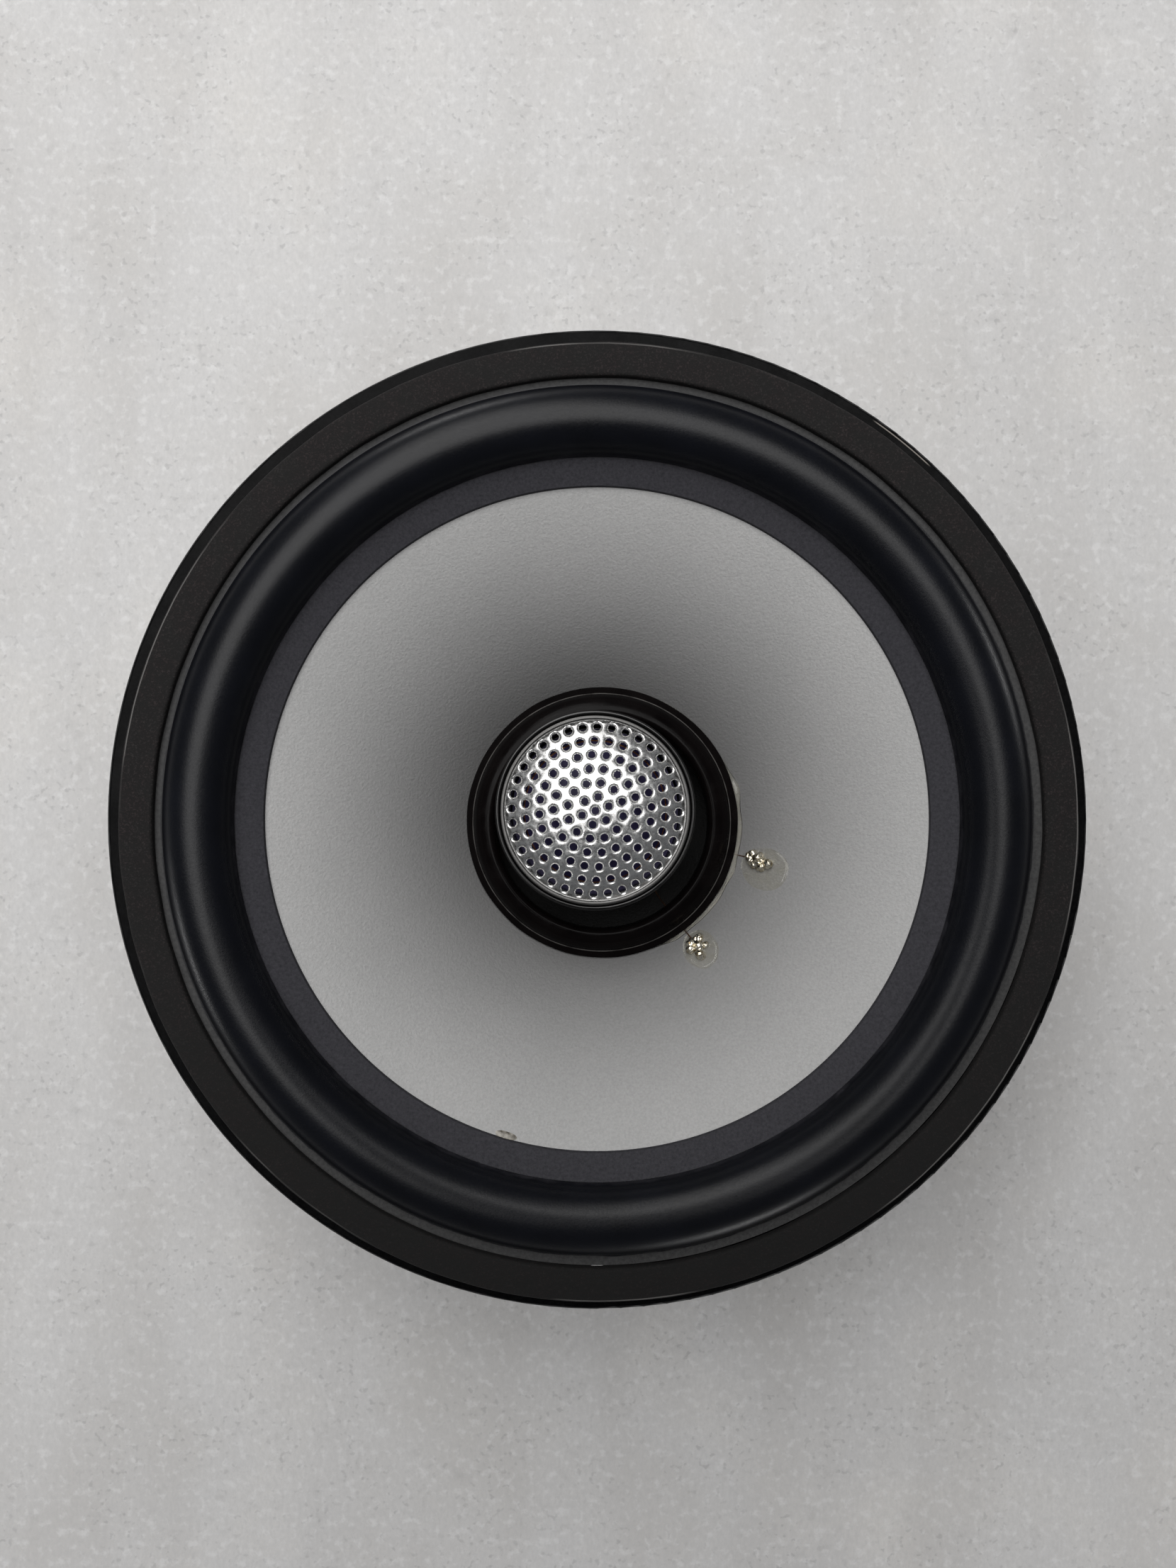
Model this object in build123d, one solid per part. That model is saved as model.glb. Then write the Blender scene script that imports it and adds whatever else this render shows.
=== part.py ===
from build123d import *
import os
from math import asin, atan2, cos, degrees, hypot, pi, radians, sin, sqrt, tan

# Coaxial car speaker of the 165 mm (6.5 inch) class, in millimetres.
# The origin is the centre of the flange's rear seating face, on the cone's axis; +Z points at the listener.
# An outline is drawn as (radius, height) pairs and turned round the axis.

# ---- driving dimensions -------------------------------------------------------------------------------
RIM_RADIUS = 82.5
SHEET = 1.2                      # the basket's steel
FIT_GAP = 0.05                   # between a fastener and its hole, and at a glued joint
EPSILON = 0.01
EDGE_BREAK = 0.1                 # a square edge, just broken
THROUGH = 8.0                    # length of a tool that cuts right through a thin part
QUARTERS = (0, 90, 180, 270)

# flange and screw holes
RIM_ROUND = 0.55
FLANGE_HOLE_RADIUS = 2.4
FLANGE_HOLE_CIRCLE = 77.2

# basket below the flange
SPIGOT_RADIUS = 71.5
SPIGOT_DEPTH = 6.0
LANDING_OUTER = 46.0             # the flat ring that carries the spider
LANDING_INNER = 40.0
LANDING_TOP = -31.0
FLOOR_OUTER = 34.0
FLOOR_TOP = -38.5
FLOOR_HOLE = 14.5
FLANGE_BEND = 0.3                # inside radii of the pressed steel's bends
SPIGOT_BEND = 2.0
LANDING_BEND = 0.8
SPOKE_ANGLES = (45, 135, 225, 315)
SPOKE_HALF_WIDTH = 8.0
WINDOW_TOP = -8.5
WINDOW_BOTTOM = -29.5
WINDOW_CORNER = 5.0
WINDOW_INSET = 2.4               # from the landing and from the spigot
VENT_HALF_WIDTH = 16.0
VENT_TOP = -33.4
VENT_BOTTOM = -37.4

# surround and gasket
RUBBER = 0.7
ROLL_OUTER = 72.8
ROLL_INNER = 61.1
ROLL_TOP = 7.3
SURROUND_EDGE = 74.7
LANDING_EDGE = 56.6              # inner edge of the surround's inner band
GASKET_INNER = 73.9
GASKET_OUTER = 80.2
GASKET_TOP = 3.6
GASKET_CORNER = 0.5

# cone: its front face is an arc of one circle, turned round the axis
CONE_EDGE = (60.6, 0.0)
CONE_MIDDLE = (38.0, -11.0)
CONE_NECK = (13.1, -29.5)
CONE_SKIN = 0.5

# motor
COIL_RADIUS = 12.45              # inside of the voice coil former
FORMER_SKIN = 0.15
WINDING_SKIN = 0.4
WINDING_HEIGHT = 10.0
FORMER_TOP = -27.4
FORMER_BOTTOM = -48.0
POLE_RADIUS = 12.0
PLATE_HOLE = 13.45
PLATE_RADIUS = 32.5
PLATE_THICKNESS = 5.0
MAGNET_RADIUS = 35.0
MAGNET_HOLE = 16.0
MAGNET_THICKNESS = 13.0
MAGNET_CHAMFER = 0.8
PLATE_CHAMFER = 0.5
POLE_FOOT = 1.5                  # chamfer where the pole stands on the back plate
POLE_CHAMFER = 0.8
RIVET_CIRCLE = 24.0
RIVET_RADIUS = 1.8
RIVET_HEAD = (3.0, 1.0)          # radius and height
RIVET_ROUND = 0.6
RIVET_DEPTH = 3.0

# spider
SPIDER_SKIN = 0.4
SPIDER_OUTER = 45.0
SPIDER_FLAT = 5.0                # flat outer band, glued to the basket's landing
SPIDER_NECK_FLAT = 2.0
SPIDER_WAVES = 6
SPIDER_WAVE_HEIGHT = 1.0

# dust ring glued on the cone, and the tweeter pod, each slightly off the axis, as glued by hand
RING_SHIFT = (0.6, -0.4)
POD_SHIFT = (-0.25, 1.1)
RING_FOOT = 25.0
RING_STEP = 23.3
RING_STEP_RISE = 1.6             # from the foot up to the step
RING_RISER = (0.15, 0.4)         # how far the step's riser goes in and up
RING_SWELL = (21.9, -15.95)
RING_CREST = (20.9, -15.5)
RING_TURN = (19.85, -15.8)
RING_LIP = (19.5, -16.5)
RING_SKIRT = 2.5                 # the lip's skirt hangs down this far
RING_SKIN = 0.6
RING_BURY = 2.0                  # drawn below the cone's face, then trimmed off by it
BEAD_WIDTH = 0.8
BEAD_RISE = 0.35
CHANNEL_LENGTH = 8.0

# tweeter pod
POD_BOTTOM = -20.5
POD_RADIUS = 16.2
POD_RIM = 17.5
POD_TOP = -6.1
POD_WALL = 1.2
POD_FLOOR_SKIN = 1.5
POD_HOLE = 3.2
POD_FLAT = 11.5                  # the flat of its underside
POD_SLOPE = 4.7                  # height of the slope from that flat out to the side
POD_LIP_FOOT = 2.6               # the turned-over rim starts this far below the top
POD_LIP_SLOPE = 0.8
POD_BEND = 1.5
LIP_BEND = 0.4
GRILLE_EDGE = 15.7
GRILLE_SEAT = -7.3
GRILLE_SKIN = 0.4
GRILLE_RISE = 4.3
GRILLE_BRIM_LAP = 0.8            # the flat brim runs in under the dome's edge
GRILLE_DOME_DROP = 0.15
GRILLE_HOLE_RADIUS = 0.68
GRILLE_ROW_PITCH = 2.43
GRILLE_ROWS = 6
GRILLE_TURN = 78.7               # every row has a hole on this ray, in degrees from +X
CLAMP_INNER = 15.85
CLAMP_OUTER = 16.65
CLAMP_PROUD = 0.1
CLAMP_ROUND = 0.25
POT_RADIUS = 14.6
POT_WALL = 1.6
POT_TOP = -12.2
TWEETER_MAGNET = (10.5, 3.0)
TWEETER_PLATE = (12.1, 2.2)
TWEETER_COIL = 12.4
TWEETER_FOIL = 0.15
TWEETER_WINDING = 0.25
TWEETER_FORMER = 4.0             # length of the former
TWEETER_WINDING_SPAN = (3.6, 1.0)    # below the dome's base: foot and head of the winding
TWEETER_CHAMFER = 0.2
TWEETER_MOUNT = 0.8              # thickness of the mounting ring
TWEETER_MOUNT_GAP = 0.3          # from the pot's wall
TWEETER_DOME_RISE = 4.3
TWEETER_SKIN = 0.2
TWEETER_BASE = -11.2
SUSPENSION_GAP = 0.25            # from the dome's edge
SUSPENSION_INSET = 0.6           # from the pot's outer wall

# post, washer and nut
POST_RADIUS = 3.0
POST_BORE = 2.0
POST_BOTTOM = -58.0
POST_FLANGE = 8.0
POST_COLUMN = 5.0
POST_SHOULDER = 2.5              # height of the shoulder
POST_HEAD = 1.5                  # height of the head
POST_TAPER = 1.5
NUT_POCKET = (7.0, 9.0)          # radius and depth of the counterbore in the yoke's back
NUT_ACROSS_FLATS = 8.0
NUT_HEIGHT = 3.0
WASHER = (6.3, 0.8)

# terminals, on the spoke below and to the right
BOARD_SPOKE = 315
BOARD_SIZE = (34.0, 14.0, 1.5)
BOARD_CORNER = 1.5
BLADE_THICKNESS = 0.8
BLADE_WIDE = 6.3
BLADE_NARROW = 4.8
BLADE_REACH = 8.0                # past the board's lower edge
BLADE_INSET = 3.0                # its upper end from the board's upper edge
BLADE_CORNER = 0.8
BLADE_HOLE = 0.85
BLADE_HOLE_AT = 3.2              # from the tip
WIDE_BLADE_AT = -11.5            # across the board
NARROW_BLADE_AT = 0.0
BOARD_RIVETS_AT = (-5.3, 5.3)
BOARD_RIVET = (1.5, 2.4, 0.8)    # shank radius, head radius, head height
BOARD_RIVET_SINK = 0.4           # the spoke curves away behind the flat board
CAPACITOR = (3.2, 11.0)
CAPACITOR_AT = 11.5
CAPACITOR_ROUND = 0.5
CAPACITOR_LEAD = 0.35
CAPACITOR_LEAD_BEND = 0.9        # the lead runs out this far, then turns down
FEED_ANGLE = -37.3               # the plane that the tweeter's feed wires run down
FEED_WIRE = 0.55
FEED_SPREAD = 0.7
FEED_GROOVE = (3.6, 3.3)         # width and depth in the yoke's back
FEED_CLEARANCE = 0.6             # from the board and from the magnet's side
FEED_START = 3.0                 # down the spoke from the board's middle
FEED_LEAVES = 14.5               # where the wires leave the spoke for the magnet
FEED_BENDS = (6.0, 6.0, 2.4, 1.6)
FEED_END = 1.4                   # above the post's head, inside the pod
TINSEL_WIRE = 0.7
TINSEL_START = -1.5              # the tinsel leads' places on the spoke, down from its middle
TINSEL_LEAVES = 5.0
TINSEL_ACROSS = 11.5
TINSEL_HANG = ((45.5, -27.0), (37.0, -25.5))     # (radial, height) of the hanging curve
TINSEL_RISE = 3.8                # the last run up to the eyelet
TINSEL_SLANT = 2.6
TINSEL_END = (0.4, 1.5)          # outside and below the eyelet's place on the cone's face

# solder joints on the cone: angle, radius on the cone, solder radius, glue cap radius
JOINTS = ((-15.0, 30.5, 1.7, 3.9), (-52.0, 30.0, 1.9, 3.2))
EYELET_RADIUS = 0.9
EYELET_FLANGE = (1.6, 0.25)      # radius and thickness
EYELET_TAIL = 0.5
EYELET_LIFT = 0.12               # its flange stands off the cone's back by this
SOLDER_RISE = 1.5
GLUE_SKIN = 0.35
GLUE_SHIFT = 0.5                 # the glue ran this far outward
GLUE_CHANNEL = 0.5
COIL_LEAD = 0.12
COIL_LEAD_LIFT = 0.2
COIL_LEAD_START = 0.2            # from the cone's neck
COIL_LEAD_STOP = 1.0             # short of the joint's middle

# heights that follow from the stack of parts
FLOOR_BOTTOM = FLOOR_TOP - SHEET
PLATE_BOTTOM = FLOOR_BOTTOM - PLATE_THICKNESS
MAGNET_BOTTOM = PLATE_BOTTOM - MAGNET_THICKNESS
BACK = MAGNET_BOTTOM - PLATE_THICKNESS
POLE_TOP = FLOOR_BOTTOM + 0.7
PLATE_MIDDLE = FLOOR_BOTTOM - PLATE_THICKNESS / 2
FORMER_OUTER = COIL_RADIUS + FORMER_SKIN
FLANGE_SURROUND_TOP = SHEET + RUBBER
LANDING_BOTTOM = LANDING_TOP - SHEET
POD_FLOOR_TOP = POD_BOTTOM + POD_FLOOR_SKIN
POCKET_TOP = BACK + NUT_POCKET[1]
BOARD_FACE = BOARD_SIZE[2] + FIT_GAP
CAPACITOR_OUT = BOARD_SIZE[2] + 2 * FIT_GAP + CAPACITOR[0]


# ---- helpers ------------------------------------------------------------------------------------------
def turned(outline):
    """A solid of revolution from a closed outline of (radius, height) edges."""
    return revolve(Plane.XZ * make_face(outline), Axis.Z)


def turned_points(*points):
    """A solid of revolution from the straight-sided outline through the points."""
    return turned(Polyline(*points, close=True))


def ring(inner, outer, low, high):
    """A plain ring with square edges."""
    return turned_points((inner, low), (outer, low), (outer, high), (inner, high))


def disc(radius, low, high):
    return Pos(0, 0, low) * Cylinder(radius, high - low, align=(Align.CENTER, Align.CENTER, Align.MIN))


def round_the_axis(shape, angles):
    return [Rot(0, 0, angle) * shape for angle in angles]


def circle_through(a, b, c):
    """Centre and radius of the circle through three points."""
    d = 2 * (a[0] * (b[1] - c[1]) + b[0] * (c[1] - a[1]) + c[0] * (a[1] - b[1]))
    squares = [p[0] ** 2 + p[1] ** 2 for p in (a, b, c)]
    x = (squares[0] * (b[1] - c[1]) + squares[1] * (c[1] - a[1]) + squares[2] * (a[1] - b[1])) / d
    y = (squares[0] * (c[0] - b[0]) + squares[1] * (a[0] - c[0]) + squares[2] * (b[0] - a[0])) / d
    return (x, y), hypot(a[0] - x, a[1] - y)


CONE_CENTRE, CONE_CURVE = circle_through(CONE_EDGE, CONE_MIDDLE, CONE_NECK)


def cone_point(radius, lift=0.0):
    """The point of the cone's front face at a radius, moved outward from the face's circle by lift."""
    curve = CONE_CURVE + lift
    return (radius, CONE_CENTRE[1] + sqrt(curve ** 2 - (radius - CONE_CENTRE[0]) ** 2))


def cone_tilt(radius):
    """Angle of the cone's front face to the horizontal at a radius, in degrees."""
    return degrees(asin((CONE_CENTRE[0] - radius) / CONE_CURVE))


def cone_arc(inner, outer, lift):
    middle = (inner + outer) / 2
    return ThreePointArc(cone_point(inner, lift), cone_point(middle, lift), cone_point(outer, lift))


def cone_shell(inner, outer, low_lift, high_lift):
    """A skin that follows the cone's front face between two lifts."""
    top = cone_arc(inner, outer, high_lift)
    bottom = cone_arc(inner, outer, low_lift)
    return turned(top + Line(top @ 1, bottom @ 1) + bottom + Line(bottom @ 0, top @ 0))


def below_cone(lift):
    """Everything under the cone's front face raised by lift, to trim what stands on the cone."""
    arc = cone_arc(CONE_NECK[0], CONE_EDGE[0], lift)
    floor = FORMER_BOTTOM
    inner_foot = (CONE_NECK[0], floor)
    outer_foot = (CONE_EDGE[0], floor)
    return turned(arc + Polyline(arc @ 1, outer_foot, inner_foot, arc @ 0))


def at_joint(angle, radius, lift=0.0):
    """A place on the cone's front face with its Z along the face's normal."""
    return Rot(0, 0, angle) * Pos(radius, 0, cone_point(radius, lift)[1]) * Rot(0, -cone_tilt(radius), 0)


def largest_radii(points):
    """A bend for each inner point of a route, as large as nearly half of its shorter run allows."""
    share = 0.45
    route = [Vector(*p) for p in points]
    radii = []
    for before, here, after in zip(route, route[1:], route[2:]):
        turn = radians((here - before).get_angle(after - here))
        shorter = min((here - before).length, (after - here).length)
        radii.append(share * shorter / tan(turn / 2))
    return radii


def tube(points, radius):
    """A round wire of straight runs joined by tangent arcs."""
    path = FilletPolyline(*points, radius=largest_radii(points))
    start = Plane(origin=path @ 0, z_dir=path % 0)
    return sweep(start * Circle(radius), path=path)


def cap(base_radius, base_height, rise, skin):
    """A dome's shell: outer base radius, height of its base, how far it rises, and its thickness."""
    sphere = (base_radius ** 2 + rise ** 2) / (2 * rise)
    centre = base_height + rise - sphere
    inner_base = sqrt((sphere - skin) ** 2 - (base_height - centre) ** 2)
    half_outer = sqrt(sphere ** 2 - (base_radius / 2) ** 2)
    half_inner = sqrt((sphere - skin) ** 2 - (inner_base / 2) ** 2)
    crown = centre + sphere
    top = ThreePointArc((0, crown), (base_radius / 2, centre + half_outer), (base_radius, base_height))
    low = ThreePointArc((inner_base, base_height), (inner_base / 2, centre + half_inner), (0, crown - skin))
    return turned(top + Line(top @ 1, low @ 0) + low + Line(low @ 1, top @ 0))


# ---- basket and its fasteners -------------------------------------------------------------------------
def window_cutter():
    """A rounded trapezoid, wider at the top, that leaves parallel-sided spokes."""
    bottom_radius = LANDING_OUTER + WINDOW_INSET
    top_radius = SPIGOT_RADIUS - WINDOW_INSET
    half_quarter = pi / 4
    widths = []
    for radius in (bottom_radius, top_radius):
        spoke = asin(SPOKE_HALF_WIDTH / radius)
        widths.append(radius * sin(half_quarter - spoke))
    corners = [
        (-widths[0], WINDOW_BOTTOM),
        (widths[0], WINDOW_BOTTOM),
        (widths[1], WINDOW_TOP),
        (-widths[1], WINDOW_TOP),
    ]
    face = make_face(FilletPolyline(*corners, radius=WINDOW_CORNER, close=True))
    return extrude(Plane.YZ.offset(FLOOR_OUTER) * face, SPIGOT_RADIUS)


def vent_cutter():
    height = VENT_TOP - VENT_BOTTOM
    slot = RectangleRounded(2 * VENT_HALF_WIDTH, height, height / 2 - EPSILON)
    return extrude(Plane.YZ.offset(FLOOR_HOLE) * Pos(0, VENT_BOTTOM + height / 2) * slot, LANDING_OUTER)


def rounded_outline(corners):
    """A closed outline from (radius, height, bend) corners."""
    points = [(radius, height) for radius, height, bend in corners]
    bends = [bend for radius, height, bend in corners]
    return FilletPolyline(*points, radius=bends, close=True)


def basket():
    """One steel pressing: flange, spigot, four spokes, the spider's landing and the floor on the motor."""
    inner_skirt = SPIGOT_RADIUS - SHEET
    floor_slope = atan2(LANDING_TOP - FLOOR_TOP, LANDING_INNER - FLOOR_OUTER)
    spoke_slope = atan2(-SPIGOT_DEPTH - LANDING_BOTTOM, SPIGOT_RADIUS - LANDING_OUTER)
    # the upper face's corners stand in from the lower's, so that the sheet is equally thick on the slopes
    floor_shift = SHEET * tan(floor_slope / 2)
    spoke_shift = SHEET * tan(spoke_slope / 2)
    spigot_shift = SHEET * tan((pi / 2 - spoke_slope) / 2)
    body = turned(rounded_outline([
        (RIM_RADIUS, 0.0, EDGE_BREAK),
        (SPIGOT_RADIUS, 0.0, FLANGE_BEND),
        (SPIGOT_RADIUS, -SPIGOT_DEPTH, SPIGOT_BEND + SHEET),
        (LANDING_OUTER, LANDING_BOTTOM, LANDING_BEND + SHEET),
        (LANDING_INNER, LANDING_BOTTOM, LANDING_BEND),
        (FLOOR_OUTER, FLOOR_BOTTOM, LANDING_BEND + SHEET),
        (FLOOR_HOLE, FLOOR_BOTTOM, EDGE_BREAK),
        (FLOOR_HOLE, FLOOR_TOP, EDGE_BREAK),
        (FLOOR_OUTER - floor_shift, FLOOR_TOP, LANDING_BEND),
        (LANDING_INNER - floor_shift, LANDING_TOP, LANDING_BEND + SHEET),
        (LANDING_OUTER - spoke_shift, LANDING_TOP, LANDING_BEND),
        (inner_skirt, spigot_shift - SPIGOT_DEPTH, SPIGOT_BEND),
        (inner_skirt, SHEET, FLANGE_BEND + SHEET),
        (RIM_RADIUS, SHEET, RIM_ROUND),
    ]))
    screw_hole = Pos(FLANGE_HOLE_CIRCLE, 0, 0) * Cylinder(FLANGE_HOLE_RADIUS, THROUGH)
    rivet_hole = Pos(RIVET_CIRCLE, 0, FLOOR_TOP) * Cylinder(RIVET_RADIUS + FIT_GAP, THROUGH)
    cutters = round_the_axis(window_cutter(), QUARTERS)
    cutters += round_the_axis(vent_cutter(), QUARTERS)
    cutters += round_the_axis(screw_hole, QUARTERS)
    cutters += round_the_axis(rivet_hole, SPOKE_ANGLES)
    for across in BOARD_RIVETS_AT:
        hole = Cylinder(BOARD_RIVET[0] + FIT_GAP, THROUGH)
        cutters.append(on_board(across, 0, 0) * hole)
    return body - cutters


def basket_rivets():
    head_radius, head_height = RIVET_HEAD
    low = FLOOR_BOTTOM - RIVET_DEPTH + FIT_GAP
    rivet = disc(RIVET_RADIUS, low, FLOOR_TOP) + disc(head_radius, FLOOR_TOP, FLOOR_TOP + head_height)
    rivet = fillet(rivet.edges().group_by(Axis.Z)[-1], RIVET_ROUND)
    return Compound(round_the_axis(Pos(RIVET_CIRCLE, 0, 0) * rivet, SPOKE_ANGLES))


def front_gasket():
    """Foam ring on the flange; its inner part lies on the surround's outer band."""
    lap = SURROUND_EDGE + 3 * FIT_GAP
    return turned(rounded_outline([
        (GASKET_INNER, FLANGE_SURROUND_TOP, EDGE_BREAK),
        (lap, FLANGE_SURROUND_TOP, EDGE_BREAK),
        (lap, SHEET, EDGE_BREAK),
        (GASKET_OUTER, SHEET, EDGE_BREAK),
        (GASKET_OUTER, GASKET_TOP, GASKET_CORNER),
        (GASKET_INNER, GASKET_TOP, GASKET_CORNER),
    ]))


# ---- soft parts ---------------------------------------------------------------------------------------
def surround():
    """Flat outer band, half roll and inner band, in one rubber moulding."""
    low = SHEET
    top = FLANGE_SURROUND_TOP
    inner_top = cone_point(ROLL_INNER, FIT_GAP + RUBBER)
    inner_low = cone_point(ROLL_INNER + RUBBER, FIT_GAP)
    middle = (ROLL_INNER + ROLL_OUTER) / 2
    roll_top = ThreePointArc((ROLL_OUTER, top), (middle, ROLL_TOP), inner_top)
    roll_low = ThreePointArc(inner_low, (middle, ROLL_TOP - RUBBER), (ROLL_OUTER - RUBBER, low))
    band_top = cone_arc(LANDING_EDGE, ROLL_INNER, FIT_GAP + RUBBER)
    band_low = cone_arc(LANDING_EDGE, ROLL_INNER + RUBBER, FIT_GAP)
    outline = roll_top + band_top + band_low + roll_low
    outline += Line(band_top @ 0, band_low @ 0)
    outline += Polyline(roll_low @ 1, (SURROUND_EDGE, low), (SURROUND_EDGE, top), roll_top @ 0)
    return turned(outline)


def spider():
    """Corrugated disc: a row of equal arcs, up and down by turns, between two flat bands."""
    first = FORMER_OUTER + FIT_GAP + SPIDER_NECK_FLAT
    last = SPIDER_OUTER - SPIDER_FLAT
    count = 2 * SPIDER_WAVES
    step = (last - first) / count
    top = LANDING_TOP + SPIDER_SKIN
    outline = Polyline((first, LANDING_TOP), (FORMER_OUTER + FIT_GAP, LANDING_TOP),
                       (FORMER_OUTER + FIT_GAP, top), (first, top))
    outline += Polyline((last, LANDING_TOP), (SPIDER_OUTER, LANDING_TOP), (SPIDER_OUTER, top), (last, top))
    for index in range(count):
        start = first + index * step
        lift = SPIDER_WAVE_HEIGHT if index % 2 else -SPIDER_WAVE_HEIGHT
        for height in (LANDING_TOP, top):
            crest = (start + step / 2, height + lift)
            outline += ThreePointArc((start, height), crest, (start + step, height))
    return turned(outline)


# ---- moving assembly ----------------------------------------------------------------------------------
def cone():
    """Thin paper shell from the voice coil's former out to the surround, pierced by the two eyelets."""
    body = cone_shell(FORMER_OUTER + 2 * FIT_GAP, CONE_EDGE[0], -CONE_SKIN, 0.0)
    for angle, radius, solder, glue in JOINTS:
        body -= at_joint(angle, radius) * Cylinder(EYELET_RADIUS + FIT_GAP, THROUGH)
    return body


def voice_coil_former():
    return ring(COIL_RADIUS, FORMER_OUTER, FORMER_BOTTOM, FORMER_TOP)


def voice_coil_winding():
    low = PLATE_MIDDLE - WINDING_HEIGHT / 2
    return ring(FORMER_OUTER, FORMER_OUTER + WINDING_SKIN, low, low + WINDING_HEIGHT)


def dust_ring():
    """Moulded ring round the cone's throat: a sloping foot, a small step, a swell and a turned-in lip."""
    foot = cone_point(RING_FOOT, FIT_GAP)[1]
    step_height = foot + RING_STEP_RISE
    skirt_foot = RING_LIP[1] - RING_SKIRT
    top = Polyline(
        (RING_FOOT, foot - RING_BURY),
        (RING_FOOT, foot + RING_SKIN),
        (RING_STEP, step_height),
        (RING_STEP - RING_RISER[0], step_height + RING_RISER[1]),
    )
    swell = ThreePointArc(top @ 1, RING_SWELL, RING_CREST)
    turn = ThreePointArc(RING_CREST, RING_TURN, RING_LIP)
    inside = Polyline(
        turn @ 1,
        (RING_LIP[0], skirt_foot),
        (RING_LIP[0] + RING_SKIN, skirt_foot),
        (RING_LIP[0] + RING_SKIN, RING_LIP[1]),
        (RING_CREST[0], RING_CREST[1] - 1.25 * RING_SKIN),
        (RING_STEP - RING_SKIN, step_height - RING_SKIN),
        (RING_FOOT - RING_SKIN, foot - RING_SKIN / 2),
        (RING_FOOT - RING_SKIN, foot - RING_BURY),
        top @ 0,
    )
    body = Pos(*RING_SHIFT, 0) * turned(top + swell + turn + inside)
    return body - below_cone(FIT_GAP) - wire_channels()


def ring_glue_bead():
    """Clear glue in the corner between the dust ring's foot and the cone."""
    foot = cone_point(RING_FOOT + BEAD_WIDTH)[1]
    inner = RING_FOOT + FIT_GAP
    outer = inner + BEAD_WIDTH
    bead = turned_points((inner, foot - RING_BURY), (inner, cone_point(RING_FOOT)[1] + BEAD_RISE),
                         (outer, foot + 2 * FIT_GAP), (outer, foot - RING_BURY))
    return Pos(*RING_SHIFT, 0) * bead - below_cone(FIT_GAP) - wire_channels()


def wire_channels():
    """Room for the two voice coil leads to pass under the ring's foot and through its glue."""
    channel = Box(CHANNEL_LENGTH, 4 * COIL_LEAD, 4 * COIL_LEAD_LIFT)
    return [at_joint(angle, RING_FOOT) * channel for angle, radius, solder, glue in JOINTS]


def lead_eyelets():
    """Hollow rivets through the cone, one for each lead, with a flange behind it."""
    flange_radius, flange_skin = EYELET_FLANGE
    flange_top = -CONE_SKIN - EYELET_LIFT
    eyelet = disc(EYELET_RADIUS, -CONE_SKIN - flange_skin - EYELET_TAIL, FIT_GAP)
    eyelet += disc(flange_radius, flange_top - flange_skin, flange_top)
    return Compound([at_joint(angle, radius) * eyelet for angle, radius, solder, glue in JOINTS])


def solder_dome(solder):
    sphere = (solder ** 2 + SOLDER_RISE ** 2) / (2 * SOLDER_RISE)
    ball = Pos(0, 0, SOLDER_RISE - sphere) * Sphere(sphere)
    return ball & disc(2 * solder, FIT_GAP + 2 * EPSILON, 2 * solder)


def solder_joints():
    domes = []
    for angle, radius, solder, glue in JOINTS:
        dome = at_joint(angle, radius) * solder_dome(solder)
        domes.append((dome - below_cone(FIT_GAP)).solids()[0])
    return Compound(domes) - voice_coil_leads()


def glue_caps():
    """Thin clear discs of glue over the cone, round each solder joint."""
    skin = cone_shell(RING_FOOT, LANDING_EDGE, FIT_GAP, FIT_GAP + GLUE_SKIN)
    caps = []
    for angle, radius, solder, glue in JOINTS:
        outer = at_joint(angle, radius + GLUE_SHIFT) * Cylinder(glue, THROUGH)
        inner = at_joint(angle, radius) * Cylinder(solder + FIT_GAP, THROUGH)
        slot = Box(2 * glue, GLUE_CHANNEL, THROUGH)
        channel = Rot(0, 0, angle) * Pos(radius - glue, 0, cone_point(radius)[1]) * slot
        caps += ((skin & outer) - inner - channel).solids()
    return Compound(caps)


def voice_coil_leads():
    """Fine wires from the voice coil, up the cone under the dust ring, to the solder joints."""
    wires = []
    for angle, radius, solder, glue in JOINTS:
        path = Plane.XZ * cone_arc(CONE_NECK[0] + COIL_LEAD_START, radius - COIL_LEAD_STOP, COIL_LEAD_LIFT)
        start = Plane(origin=path @ 0, z_dir=path % 0)
        wires.append(Rot(0, 0, angle) * sweep(start * Circle(COIL_LEAD), path=path))
    return Compound(wires)


# ---- motor --------------------------------------------------------------------------------------------
def top_plate():
    body = ring(PLATE_HOLE, PLATE_RADIUS, PLATE_BOTTOM, FLOOR_BOTTOM)
    body = chamfer(body.edges().group_by(Axis.Z)[0].sort_by(SortBy.RADIUS)[-1], PLATE_CHAMFER)
    hole = Pos(RIVET_CIRCLE, 0, FLOOR_BOTTOM) * Cylinder(RIVET_RADIUS + FIT_GAP, 2 * RIVET_DEPTH)
    return body - round_the_axis(hole, SPOKE_ANGLES)


def ring_magnet():
    body = ring(MAGNET_HOLE, MAGNET_RADIUS, MAGNET_BOTTOM, PLATE_BOTTOM)
    return chamfer(body.edges(), MAGNET_CHAMFER)


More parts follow.
